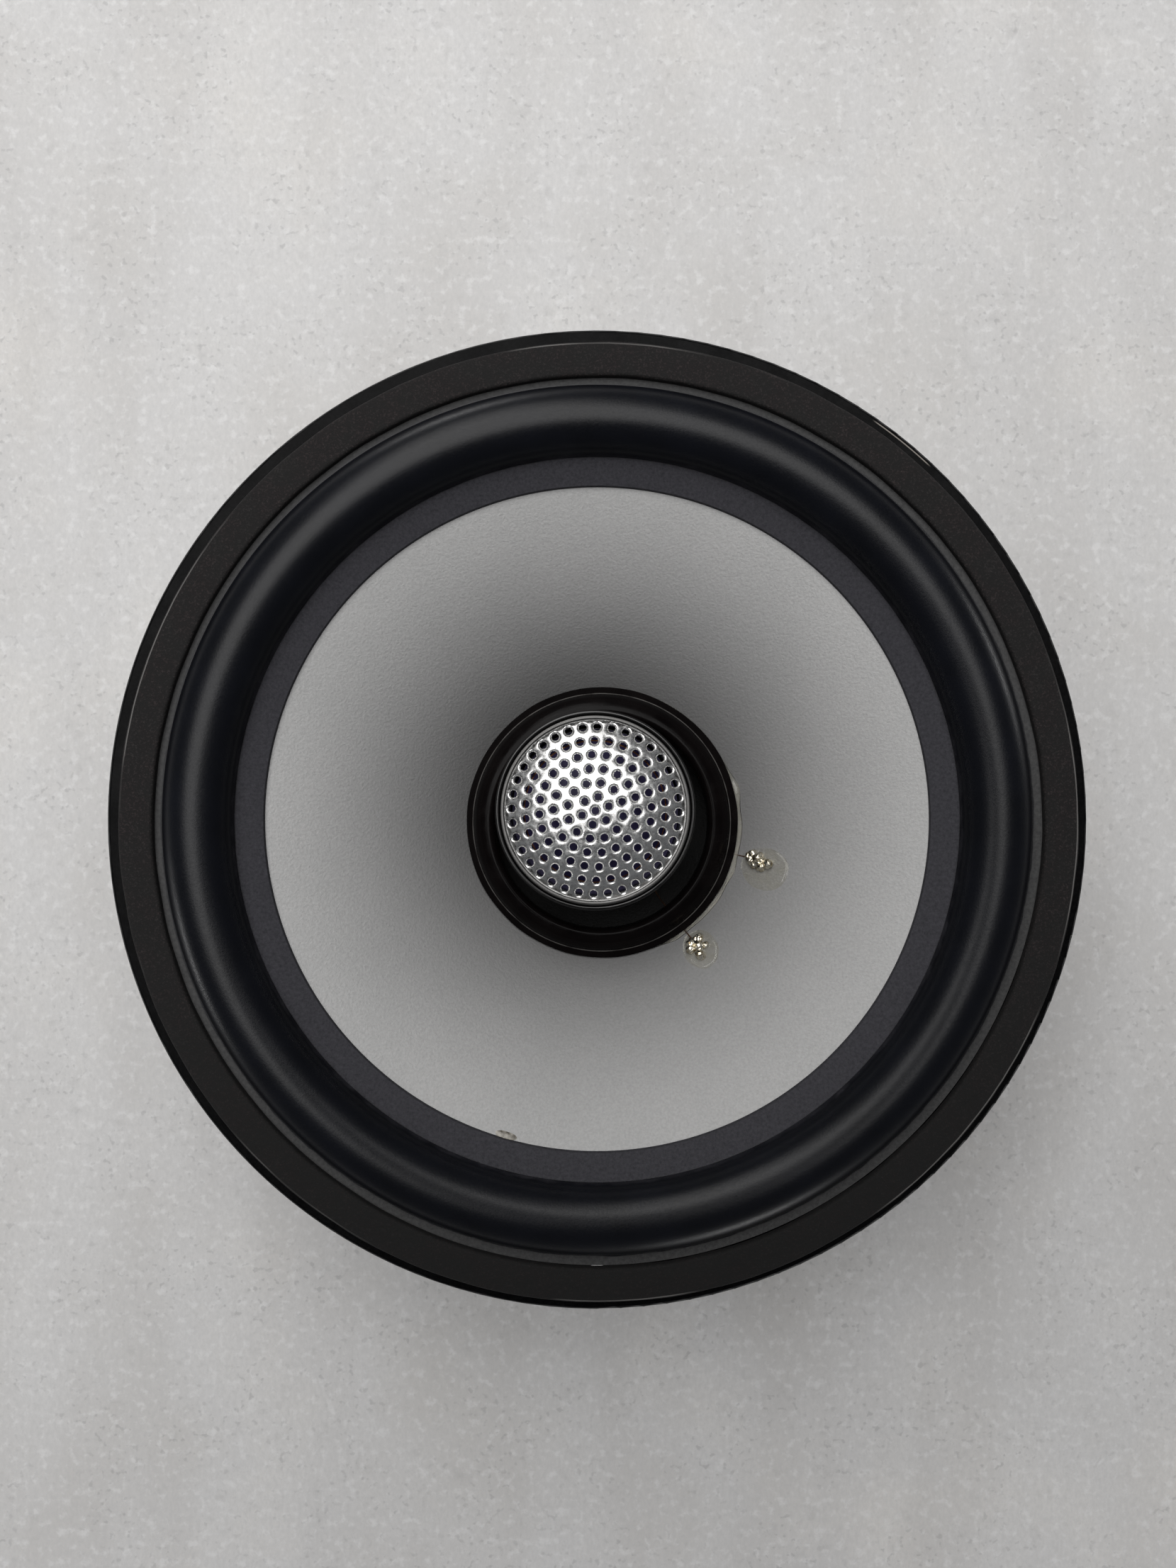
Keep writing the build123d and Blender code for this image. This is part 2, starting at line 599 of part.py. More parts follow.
def yoke():
    """Back plate and pole in one piece, bored for the tweeter's post, with a pocket for its nut."""
    pocket_radius, pocket_depth = NUT_POCKET
    body = turned_points(
        (0, BACK),
        (PLATE_RADIUS - PLATE_CHAMFER, BACK),
        (PLATE_RADIUS, BACK + PLATE_CHAMFER),
        (PLATE_RADIUS, MAGNET_BOTTOM),
        (POLE_RADIUS + POLE_FOOT, MAGNET_BOTTOM),
        (POLE_RADIUS, MAGNET_BOTTOM + POLE_FOOT),
        (POLE_RADIUS, POLE_TOP - POLE_CHAMFER),
        (POLE_RADIUS - POLE_CHAMFER, POLE_TOP),
        (0, POLE_TOP),
    )
    width, depth = FEED_GROOVE
    groove = Pos(PLATE_RADIUS, 0, BACK) * Box(2 * PLATE_RADIUS, width, 2 * depth)
    bore = disc(POST_RADIUS + FIT_GAP, BACK - THROUGH, POLE_TOP + THROUGH)
    pocket = disc(pocket_radius, BACK - THROUGH, BACK + pocket_depth)
    return body - bore - pocket - Rot(0, 0, FEED_ANGLE) * groove


# ---- tweeter post -------------------------------------------------------------------------------------
def tweeter_post():
    """Hollow post: the shank goes through the pole, the shoulder stands on it, the head carries the pod."""
    shoulder_top = POLE_TOP + POST_SHOULDER
    head_bottom = POD_BOTTOM - POST_HEAD
    return turned_points(
        (POST_BORE, POST_BOTTOM),
        (POST_RADIUS, POST_BOTTOM),
        (POST_RADIUS, POLE_TOP),
        (POST_FLANGE, POLE_TOP),
        (POST_FLANGE, shoulder_top),
        (POST_COLUMN, shoulder_top + POST_TAPER),
        (POST_COLUMN, head_bottom - POST_TAPER),
        (POST_FLANGE, head_bottom),
        (POST_FLANGE, POD_BOTTOM),
        (POST_BORE, POD_BOTTOM),
    )


def post_washer():
    radius, height = WASHER
    return ring(POST_RADIUS + FIT_GAP, radius, POCKET_TOP - height, POCKET_TOP)


def post_nut():
    top = POCKET_TOP - WASHER[1]
    hexagon = RegularPolygon(NUT_ACROSS_FLATS / 2, 6, major_radius=False)
    face = hexagon - Circle(POST_RADIUS + FIT_GAP)
    return extrude(Pos(0, 0, top - NUT_HEIGHT) * face, NUT_HEIGHT)


# ---- tweeter pod --------------------------------------------------------------------------------------
def tweeter_housing():
    """Cup with a turned-over rim and a recess for the grille's brim."""
    inner = POD_RADIUS - POD_WALL
    recess = CLAMP_OUTER + FIT_GAP
    lip_foot = POD_TOP - POD_LIP_FOOT
    return turned(rounded_outline([
        (POD_HOLE, POD_BOTTOM, EDGE_BREAK),
        (POD_FLAT, POD_BOTTOM, POD_BEND),
        (POD_RADIUS, POD_BOTTOM + POD_SLOPE, POD_BEND),
        (POD_RADIUS, lip_foot, LIP_BEND),
        (POD_RIM, lip_foot + POD_LIP_SLOPE, LIP_BEND),
        (POD_RIM, POD_TOP, LIP_BEND),
        (recess, POD_TOP, LIP_BEND / 2),
        (recess, GRILLE_SEAT, EDGE_BREAK),
        (inner, GRILLE_SEAT, EDGE_BREAK),
        (inner, POD_FLOOR_TOP, EDGE_BREAK),
        (POD_HOLE, POD_FLOOR_TOP, EDGE_BREAK),
    ]))


def grille_clamp_ring():
    low = GRILLE_SEAT + GRILLE_SKIN
    body = ring(CLAMP_INNER, CLAMP_OUTER, low, POD_TOP + CLAMP_PROUD)
    return fillet(body.edges().group_by(Axis.Z)[-1], CLAMP_ROUND)


def tweeter_grille():
    """Perforated dome with a flat brim: rows of 6, 12, 18 and so on round one centre hole."""
    brim_top = GRILLE_SEAT + GRILLE_SKIN
    dome = cap(GRILLE_EDGE, brim_top - GRILLE_DOME_DROP, GRILLE_RISE, GRILLE_SKIN)
    brim = ring(GRILLE_EDGE - GRILLE_BRIM_LAP, CLAMP_OUTER - FIT_GAP, GRILLE_SEAT, brim_top)
    punch = Pos(0, 0, GRILLE_SEAT) * Cylinder(GRILLE_HOLE_RADIUS, 2 * THROUGH)
    punches = [punch]
    for row in range(1, GRILLE_ROWS + 1):
        count = 6 * row
        radius = row * GRILLE_ROW_PITCH
        for index in range(count):
            angle = radians(GRILLE_TURN) + 2 * pi * index / count
            punches.append(Pos(radius * cos(angle), radius * sin(angle), 0) * punch)
    return brim + dome - punches


def tweeter_pot():
    inner = POT_RADIUS - POT_WALL
    inner_floor = POD_FLOOR_TOP + POT_WALL
    return turned_points((0, POD_FLOOR_TOP), (POT_RADIUS, POD_FLOOR_TOP), (POT_RADIUS, POT_TOP),
                         (inner, POT_TOP), (inner, inner_floor), (0, inner_floor))


def tweeter_magnet():
    radius, height = TWEETER_MAGNET
    low = POD_FLOOR_TOP + POT_WALL
    return disc(radius, low, low + height)


def tweeter_pole_plate():
    radius, height = TWEETER_PLATE
    return chamfer(disc(radius, POT_TOP - height, POT_TOP).edges(), TWEETER_CHAMFER)


def tweeter_mounting_ring():
    inner = POT_RADIUS - POT_WALL + TWEETER_MOUNT_GAP
    return ring(inner, POD_RADIUS - POD_WALL - FIT_GAP, POT_TOP, POT_TOP + TWEETER_MOUNT)


def tweeter_suspension():
    """Small half roll between the dome's edge and the mounting ring."""
    low = POT_TOP + TWEETER_MOUNT
    top = low + TWEETER_SKIN
    start = TWEETER_COIL + TWEETER_FOIL + SUSPENSION_GAP
    end = POT_RADIUS - SUSPENSION_INSET
    middle = (start + end) / 2
    rise = (end - start) / 2
    upper = ThreePointArc((start, top), (middle, top + rise), (end, top))
    under = ThreePointArc((start, low), (middle, low + rise), (end, low))
    edge = POD_RADIUS - POD_WALL - 4 * FIT_GAP
    outline = upper + under + Line(upper @ 0, under @ 0)
    outline += Polyline(upper @ 1, (edge, top), (edge, low), under @ 1)
    return turned(outline)


def tweeter_dome():
    return cap(TWEETER_COIL + TWEETER_FOIL, TWEETER_BASE, TWEETER_DOME_RISE, TWEETER_SKIN)


def tweeter_former():
    return ring(TWEETER_COIL, TWEETER_COIL + TWEETER_FOIL, TWEETER_BASE - TWEETER_FORMER, TWEETER_BASE)


def tweeter_winding():
    inner = TWEETER_COIL + TWEETER_FOIL
    foot, head = TWEETER_WINDING_SPAN
    return ring(inner, inner + TWEETER_WINDING, TWEETER_BASE - foot, TWEETER_BASE - head)


# ---- terminals and wires ------------------------------------------------------------------------------
def spoke_normal():
    """Outward unit normal of the spoke's outer face, as (radial, height)."""
    rise = -SPIGOT_DEPTH - LANDING_BOTTOM
    run = SPIGOT_RADIUS - LANDING_OUTER
    length = hypot(run, rise)
    return (rise / length, -run / length)


def spoke_point(down, out):
    """(radial, height) at a distance down the spoke from its middle, and out from its outer face."""
    radial = (SPIGOT_RADIUS + LANDING_OUTER) / 2
    height = (LANDING_BOTTOM - SPIGOT_DEPTH) / 2
    normal = spoke_normal()
    return (radial + down * normal[1] + out * normal[0], height - down * normal[0] + out * normal[1])


def on_board(across, down, out):
    """A place on the terminal spoke: Z out of its face, X across it, Y up it."""
    radial, height = spoke_point(down, out)
    normal = spoke_normal()
    tilt = degrees(atan2(normal[0], normal[1]))
    return Rot(0, 0, BOARD_SPOKE) * Pos(radial, across, height) * Rot(0, tilt, 0) * Rot(0, 0, 90)


def terminal_board():
    width, height, thickness = BOARD_SIZE
    body = extrude(RectangleRounded(width, height, BOARD_CORNER), thickness)
    holes = [Pos(across, 0, 0) * Cylinder(BOARD_RIVET[0] + FIT_GAP, THROUGH) for across in BOARD_RIVETS_AT]
    return on_board(0, 0, FIT_GAP) * (body - holes)


def terminal_rivets():
    shank, head, head_height = BOARD_RIVET
    inner_head = -SHEET - BOARD_RIVET_SINK
    rivet = disc(shank, inner_head, BOARD_FACE)
    rivet += disc(head, BOARD_FACE, BOARD_FACE + head_height)
    rivet += disc(head, inner_head - head_height, inner_head)
    return Compound([on_board(across, 0, 0) * rivet for across in BOARD_RIVETS_AT])


def blade(across, width):
    """A flat push-on tab with rounded corners and a small locking hole."""
    head = BOARD_SIZE[1] / 2 - BLADE_INSET
    tip = -BOARD_SIZE[1] / 2 - BLADE_REACH
    tab = Pos(0, (head + tip) / 2) * RectangleRounded(width, head - tip, BLADE_CORNER)
    tab -= Pos(0, tip + BLADE_HOLE_AT) * Circle(BLADE_HOLE)
    return on_board(across, 0, BOARD_FACE) * extrude(tab, BLADE_THICKNESS)


def blade_positive():
    return blade(WIDE_BLADE_AT, BLADE_WIDE)


def blade_negative():
    return blade(NARROW_BLADE_AT, BLADE_NARROW)


def crossover_capacitor():
    body = fillet(Cylinder(*CAPACITOR).edges(), CAPACITOR_ROUND)
    return on_board(CAPACITOR_AT, 0, CAPACITOR_OUT) * Rot(90, 0, 0) * body


def capacitor_leads():
    """Bare wire ends from each end of the capacitor down to the board."""
    radius, length = CAPACITOR
    leads = []
    for side in (-1, 1):
        start = side * (length / 2 + FIT_GAP)
        bend = side * (length / 2 + CAPACITOR_LEAD_BEND)
        route = [(0, start, 0), (0, bend, 0), (0, bend, -radius - FIT_GAP)]
        leads.append(on_board(CAPACITOR_AT, 0, CAPACITOR_OUT) * tube(route, CAPACITOR_LEAD))
    return Compound(leads)


def tweeter_feed_wires():
    """Down the spoke, down the magnet's side, along the back's groove and up inside the post."""
    board_out = BOARD_SIZE[2] + FEED_WIRE + FEED_CLEARANCE
    groove_height = BACK + FEED_GROOVE[1] / 2
    side = MAGNET_RADIUS + FEED_WIRE + FEED_CLEARANCE
    route = [
        spoke_point(FEED_START, board_out),
        spoke_point(FEED_LEAVES, board_out),
        (side, PLATE_BOTTOM - MAGNET_CHAMFER),
        (side, groove_height),
        (0, groove_height),
        (0, POD_BOTTOM + FEED_END),
    ]
    wires = []
    for spread in (-FEED_SPREAD, FEED_SPREAD):
        points = [(radial, spread, height) for radial, height in route]
        path = FilletPolyline(*points, radius=list(FEED_BENDS))
        start = Plane(origin=path @ 0, z_dir=path % 0)
        wires.append(Rot(0, 0, FEED_ANGLE) * sweep(start * Circle(FEED_WIRE), path=path))
    return Compound(wires)


def tinsel_route(joint, side):
    """From the board's inner face, in a hanging curve under the cone, to the eyelet's back."""
    angle, radius, solder, glue = joint
    turn = radians(angle - BOARD_SPOKE)
    outside, below = TINSEL_END
    end_radial = radius * cos(turn) + outside
    end_across = radius * sin(turn)
    end_height = cone_point(radius)[1] - below
    start_across = side * TINSEL_ACROSS
    path = [
        spoke_point(TINSEL_START, -TINSEL_WIRE - FIT_GAP),
        spoke_point(TINSEL_LEAVES, -2 * TINSEL_WIRE),
        *TINSEL_HANG,
        (end_radial + TINSEL_SLANT, end_height - TINSEL_RISE),
        (end_radial, end_height),
    ]
    halfway = (start_across + end_across) / 2
    across = [start_across, start_across, start_across, halfway, end_across, end_across]
    return [(radial, aside, height) for (radial, height), aside in zip(path, across)]


def tinsel_lead(joint, side):
    return Rot(0, 0, BOARD_SPOKE) * tube(tinsel_route(joint, side), TINSEL_WIRE)


def tinsel_lead_upper():
    return tinsel_lead(JOINTS[0], 1)


def tinsel_lead_lower():
    return tinsel_lead(JOINTS[1], -1)


# ---- the assembly -------------------------------------------------------------------------------------
ON_THE_AXIS = (
    basket, basket_rivets, front_gasket, surround, spider,
    cone, voice_coil_former, voice_coil_winding, dust_ring, ring_glue_bead,
    lead_eyelets, solder_joints, glue_caps, voice_coil_leads,
    top_plate, ring_magnet, yoke,
    tweeter_post, post_washer, post_nut,
    terminal_board, terminal_rivets, blade_positive, blade_negative,
    crossover_capacitor, capacitor_leads, tweeter_feed_wires,
    tinsel_lead_upper, tinsel_lead_lower,
)
IN_THE_POD = (
    tweeter_housing, grille_clamp_ring, tweeter_grille,
    tweeter_pot, tweeter_magnet, tweeter_pole_plate, tweeter_mounting_ring, tweeter_suspension,
    tweeter_dome, tweeter_former, tweeter_winding,
)

os.makedirs("parts", exist_ok=True)
for make in ON_THE_AXIS:
    export_step(make(), f"parts/{make.__name__}.step")
for make in IN_THE_POD:
    export_step(Pos(*POD_SHIFT, 0) * make(), f"parts/{make.__name__}.step")
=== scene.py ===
import math
import random
import bmesh
import bpy
from mathutils import Matrix, Vector, geometry, kdtree, noise
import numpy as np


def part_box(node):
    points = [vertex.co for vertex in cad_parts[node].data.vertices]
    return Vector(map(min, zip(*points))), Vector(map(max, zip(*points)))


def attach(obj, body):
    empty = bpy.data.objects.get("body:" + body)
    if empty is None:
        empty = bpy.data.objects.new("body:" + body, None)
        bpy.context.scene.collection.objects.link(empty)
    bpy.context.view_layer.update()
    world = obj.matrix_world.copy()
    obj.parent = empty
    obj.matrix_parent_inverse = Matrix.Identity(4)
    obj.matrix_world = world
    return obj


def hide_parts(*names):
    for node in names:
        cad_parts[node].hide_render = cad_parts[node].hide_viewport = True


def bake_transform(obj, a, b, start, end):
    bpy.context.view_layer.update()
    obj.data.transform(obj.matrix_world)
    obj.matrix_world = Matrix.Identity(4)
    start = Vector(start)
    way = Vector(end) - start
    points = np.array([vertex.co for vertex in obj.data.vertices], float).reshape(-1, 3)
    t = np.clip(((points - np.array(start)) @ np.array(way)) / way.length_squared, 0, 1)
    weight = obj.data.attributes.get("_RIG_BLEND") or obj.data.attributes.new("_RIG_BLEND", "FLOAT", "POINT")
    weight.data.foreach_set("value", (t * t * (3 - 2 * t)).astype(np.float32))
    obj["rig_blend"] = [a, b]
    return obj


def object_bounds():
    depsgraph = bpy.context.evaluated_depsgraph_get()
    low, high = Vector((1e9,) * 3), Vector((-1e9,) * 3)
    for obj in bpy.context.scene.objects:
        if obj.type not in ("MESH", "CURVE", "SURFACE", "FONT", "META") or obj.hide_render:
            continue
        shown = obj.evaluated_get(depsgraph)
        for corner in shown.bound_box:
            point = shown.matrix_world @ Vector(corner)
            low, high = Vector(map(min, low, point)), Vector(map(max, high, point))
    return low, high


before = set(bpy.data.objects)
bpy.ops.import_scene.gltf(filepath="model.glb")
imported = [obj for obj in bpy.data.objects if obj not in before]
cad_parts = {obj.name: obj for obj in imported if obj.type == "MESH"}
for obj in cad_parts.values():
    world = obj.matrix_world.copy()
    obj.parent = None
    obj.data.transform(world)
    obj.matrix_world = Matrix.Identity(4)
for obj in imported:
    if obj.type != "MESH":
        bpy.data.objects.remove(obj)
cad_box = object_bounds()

# Looks of a coaxial car speaker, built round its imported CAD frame. Outlines are in millimetres and become
# metres where a mesh is made. Radii and heights come from the frame's boxes wherever a box shows them.
MM = 0.001
ROOT = "basket"
CONE_BODY = "cone_assembly"
TWEETER_BODY = "tweeter_diaphragm"
ROUND = 288                      # facets round a large turned piece
SMALL_ROUND = 160                # round a small one
FINE_ROUND = 2 * SMALL_ROUND     # round a small one in the middle of the view
SHARP = math.radians(38)         # an edge that turns more than this is drawn sharp
ON_AXIS = 1e-6                   # a radius below this is on the axis


# ---- the frame's sizes, in millimetres ----------------------------------------------------------------
def box_mm(node):
    low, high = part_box(node)
    return low / MM, high / MM


def sizes_of(node):
    """A round node's outer radius, bottom and top."""
    low, high = box_mm(node)
    return (high.x - low.x) / 2, low.z, high.z


def outer_radius(node):
    return sizes_of(node)[0]


def centre_of(node, aside=(0.0, 0.0)):
    """A node's centre, moved a little aside where the real part was glued a little off its place."""
    low, high = box_mm(node)
    return ((low.x + high.x) / 2 + aside[0], (low.y + high.y) / 2 + aside[1])


POD_CENTRE = centre_of("tweeter_housing", (0.0, 0.30))
RING_CENTRE = centre_of("dust_ring", (0.35, -0.62))
GASKET_CENTRE = (0.22, -0.34)    # the gasket was laid a little off the axis

# the cone's front face is an arc of one circle turned round the axis, through these three points
CONE_EDGE = (outer_radius("cone"), 0.0)
CONE_MIDDLE = (38.0, -11.0)
CONE_NECK = (13.1, -29.5)
CONE_SKIN = 0.5
GLUE_GAP = 0.05                  # between glued faces

# the surround: a flat band on the cone, a half roll, and a flat band on the flange
RUBBER = 0.7                     # thickness
FLANGE_TOP = 1.2
BAND_INNER = 56.6
ROLL_INNER = 61.1
ROLL_OUTER = 72.8

RING_STEP = 23.72                # radius of the step on the throat ring, along which a highlight is painted


def circle_through(a, b, c):
    """Centre and radius of the circle through three points."""
    d = 2 * (a[0] * (b[1] - c[1]) + b[0] * (c[1] - a[1]) + c[0] * (a[1] - b[1]))
    squares = [p[0] ** 2 + p[1] ** 2 for p in (a, b, c)]
    x = (squares[0] * (b[1] - c[1]) + squares[1] * (c[1] - a[1]) + squares[2] * (a[1] - b[1])) / d
    y = (squares[0] * (c[0] - b[0]) + squares[1] * (a[0] - c[0]) + squares[2] * (b[0] - a[0])) / d
    return (x, y), math.hypot(a[0] - x, a[1] - y)


CONE_CENTRE, CONE_CURVE = circle_through(CONE_EDGE, CONE_MIDDLE, CONE_NECK)


def cone_height(radius, lift=0.0):
    """Height of the cone's front face at a radius, or of a surface that far outside it."""
    return CONE_CENTRE[1] + math.sqrt((CONE_CURVE + lift) ** 2 - (radius - CONE_CENTRE[0]) ** 2)


def on_cone(x, y, lift=0.0):
    return Vector((x, y, cone_height(math.hypot(x, y), lift)))


def heading(angle):
    """The flat direction at an angle."""
    return Vector((math.cos(angle), math.sin(angle)))


def round_noise(angle, size, seed):
    """Noise from -1 to 1 that joins up once round the axis."""
    return noise.noise(Vector((size * math.cos(angle), size * math.sin(angle), seed)))


def push_out(point, angle, distance):
    point.x += distance * math.cos(angle)
    point.y += distance * math.sin(angle)


# ---- outlines -----------------------------------------------------------------------------------------
def arc(start, via, end, steps=12):
    """Points of the arc from start through via to end."""
    centre, radius = circle_through(start, via, end)
    angles = [math.atan2(p[1] - centre[1], p[0] - centre[0]) for p in (start, via, end)]
    to_via = (angles[1] - angles[0]) % math.tau
    to_end = (angles[2] - angles[0]) % math.tau
    sweep = to_end if to_via < to_end else to_end - math.tau
    points = []
    for step in range(steps + 1):
        angle = angles[0] + sweep * step / steps
        points.append((centre[0] + radius * math.cos(angle), centre[1] + radius * math.sin(angle)))
    return points


def rounded(corners, steps=6):
    """A closed outline from (radius, height, bend) corners, each bend an arc."""
    points = []
    count = len(corners)
    for index, (x, y, bend) in enumerate(corners):
        here = Vector((x, y))
        before = Vector(corners[index - 1][:2]) - here
        after = Vector(corners[(index + 1) % count][:2]) - here
        half_turn = before.angle(after) / 2
        setback = bend / math.tan(half_turn)
        if bend == 0:
            points.append((x, y))
            continue
        start = here + before.normalized() * setback
        end = here + after.normalized() * setback
        bisector = (before.normalized() + after.normalized()).normalized()
        middle = here + bisector * (bend / math.sin(half_turn) - bend)
        points += arc(tuple(start), tuple(middle), tuple(end), steps)
    return points


def cone_line(inner, outer, lift, steps):
    """Points along the cone's front face, or along a surface that far outside it."""
    radii = [inner + (outer - inner) * step / steps for step in range(steps + 1)]
    return [(radius, cone_height(radius, lift)) for radius in radii]


def dome_sphere(edge, rise):
    """Radius of the sphere whose cap has this edge radius and rise."""
    return (edge ** 2 + rise ** 2) / (2 * rise)


# ---- meshes -------------------------------------------------------------------------------------------
def add_object(name, data):
    made = bpy.data.objects.new(name, data)
    bpy.context.scene.collection.objects.link(made)
    return made


def finish_mesh(name, mesh, body, material, node, sharp=SHARP):
    """Shade the mesh, give it its material and hang it on its body in place of the CAD node."""
    for polygon in mesh.polygons:
        polygon.use_smooth = True
    mesh.set_sharp_from_angle(angle=sharp)
    mesh.materials.clear()
    mesh.materials.append(material)
    piece = add_object(name, mesh)
    if body:
        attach(piece, body)
    if node:
        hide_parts(node)
    return piece


def mesh_from(name, bm):
    bmesh.ops.recalc_face_normals(bm, faces=bm.faces)
    mesh = bpy.data.meshes.new(name)
    bm.to_mesh(mesh)
    bm.free()
    return mesh


def bridge(bm, row, following, closed=True):
    """Faces between two rows of vertices, closed round or left open."""
    count = len(row)
    for index in range(count if closed else count - 1):
        after = (index + 1) % count
        bm.faces.new((row[index], row[after], following[after], following[index]))


def lathe(outline, centre=(0.0, 0.0), segments=ROUND, wobble=None):
    """A closed outline of (radius, height) points in mm turned round a vertical axis."""
    bm = bmesh.new()
    rows = []
    for segment in range(segments):
        angle = math.tau * segment / segments
        row = []
        for radius, height in outline:
            x = centre[0] + radius * math.cos(angle)
            y = centre[1] + radius * math.sin(angle)
            point = Vector((x, y, height))
            if wobble:
                point = wobble(point, radius, angle)
            row.append(bm.verts.new(point * MM))
        rows.append(row)
    ends_on_axis = max(outline[0][0], outline[-1][0]) < ON_AXIS
    for row, following in zip(rows, rows[1:] + rows[:1]):
        bridge(bm, row, following, not ends_on_axis)
    bmesh.ops.remove_doubles(bm, verts=bm.verts, dist=1e-7)
    return bm


def turned(name, outline, body, material, node, centre=(0.0, 0.0), segments=ROUND, wobble=None):
    mesh = mesh_from(name, lathe(outline, centre, segments, wobble))
    return finish_mesh(name, mesh, body, material, node)


def frames_along(points):
    """Each point of a line with two directions square to the line, which twist as little as they can."""
    across = None
    for index, point in enumerate(points):
        before = points[max(index - 1, 0)]
        after = points[min(index + 1, len(points) - 1)]
        along = (after - before).normalized()
        across = across or along.orthogonal()
        across = (across - along * across.dot(along)).normalized()
        yield point, across, along.cross(across)


def tube_mesh(points, radius, sides=8):
    """A round tube along points in mm, with closed ends."""
    bm = bmesh.new()
    rings = []
    for point, across, other in frames_along(points):
        ring = []
        for side in range(sides):
            angle = math.tau * side / sides
            offset = across * math.cos(angle) + other * math.sin(angle)
            ring.append(bm.verts.new((point + offset * radius) * MM))
        rings.append(ring)
    for row, following in zip(rings, rings[1:]):
        bridge(bm, row, following)
    bm.faces.new(rings[0])
    bm.faces.new(rings[-1])
    return bm


def with_modifiers(piece):
    """The mesh that a piece's modifiers give; the piece itself goes."""
    graph = bpy.context.evaluated_depsgraph_get()
    graph.update()
    mesh = bpy.data.meshes.new_from_object(piece.evaluated_get(graph))
    bpy.data.objects.remove(piece)
    return mesh


# ---- shader building ----------------------------------------------------------------------------------
SOCKETS = {
    "metallic": "Metallic",
    "specular": "Specular IOR Level",
    "transmission": "Transmission Weight",
    "ior": "IOR",
}
NOISE_LOW = 0.3                  # soft noise mostly lies between these two
NOISE_HIGH = 0.7


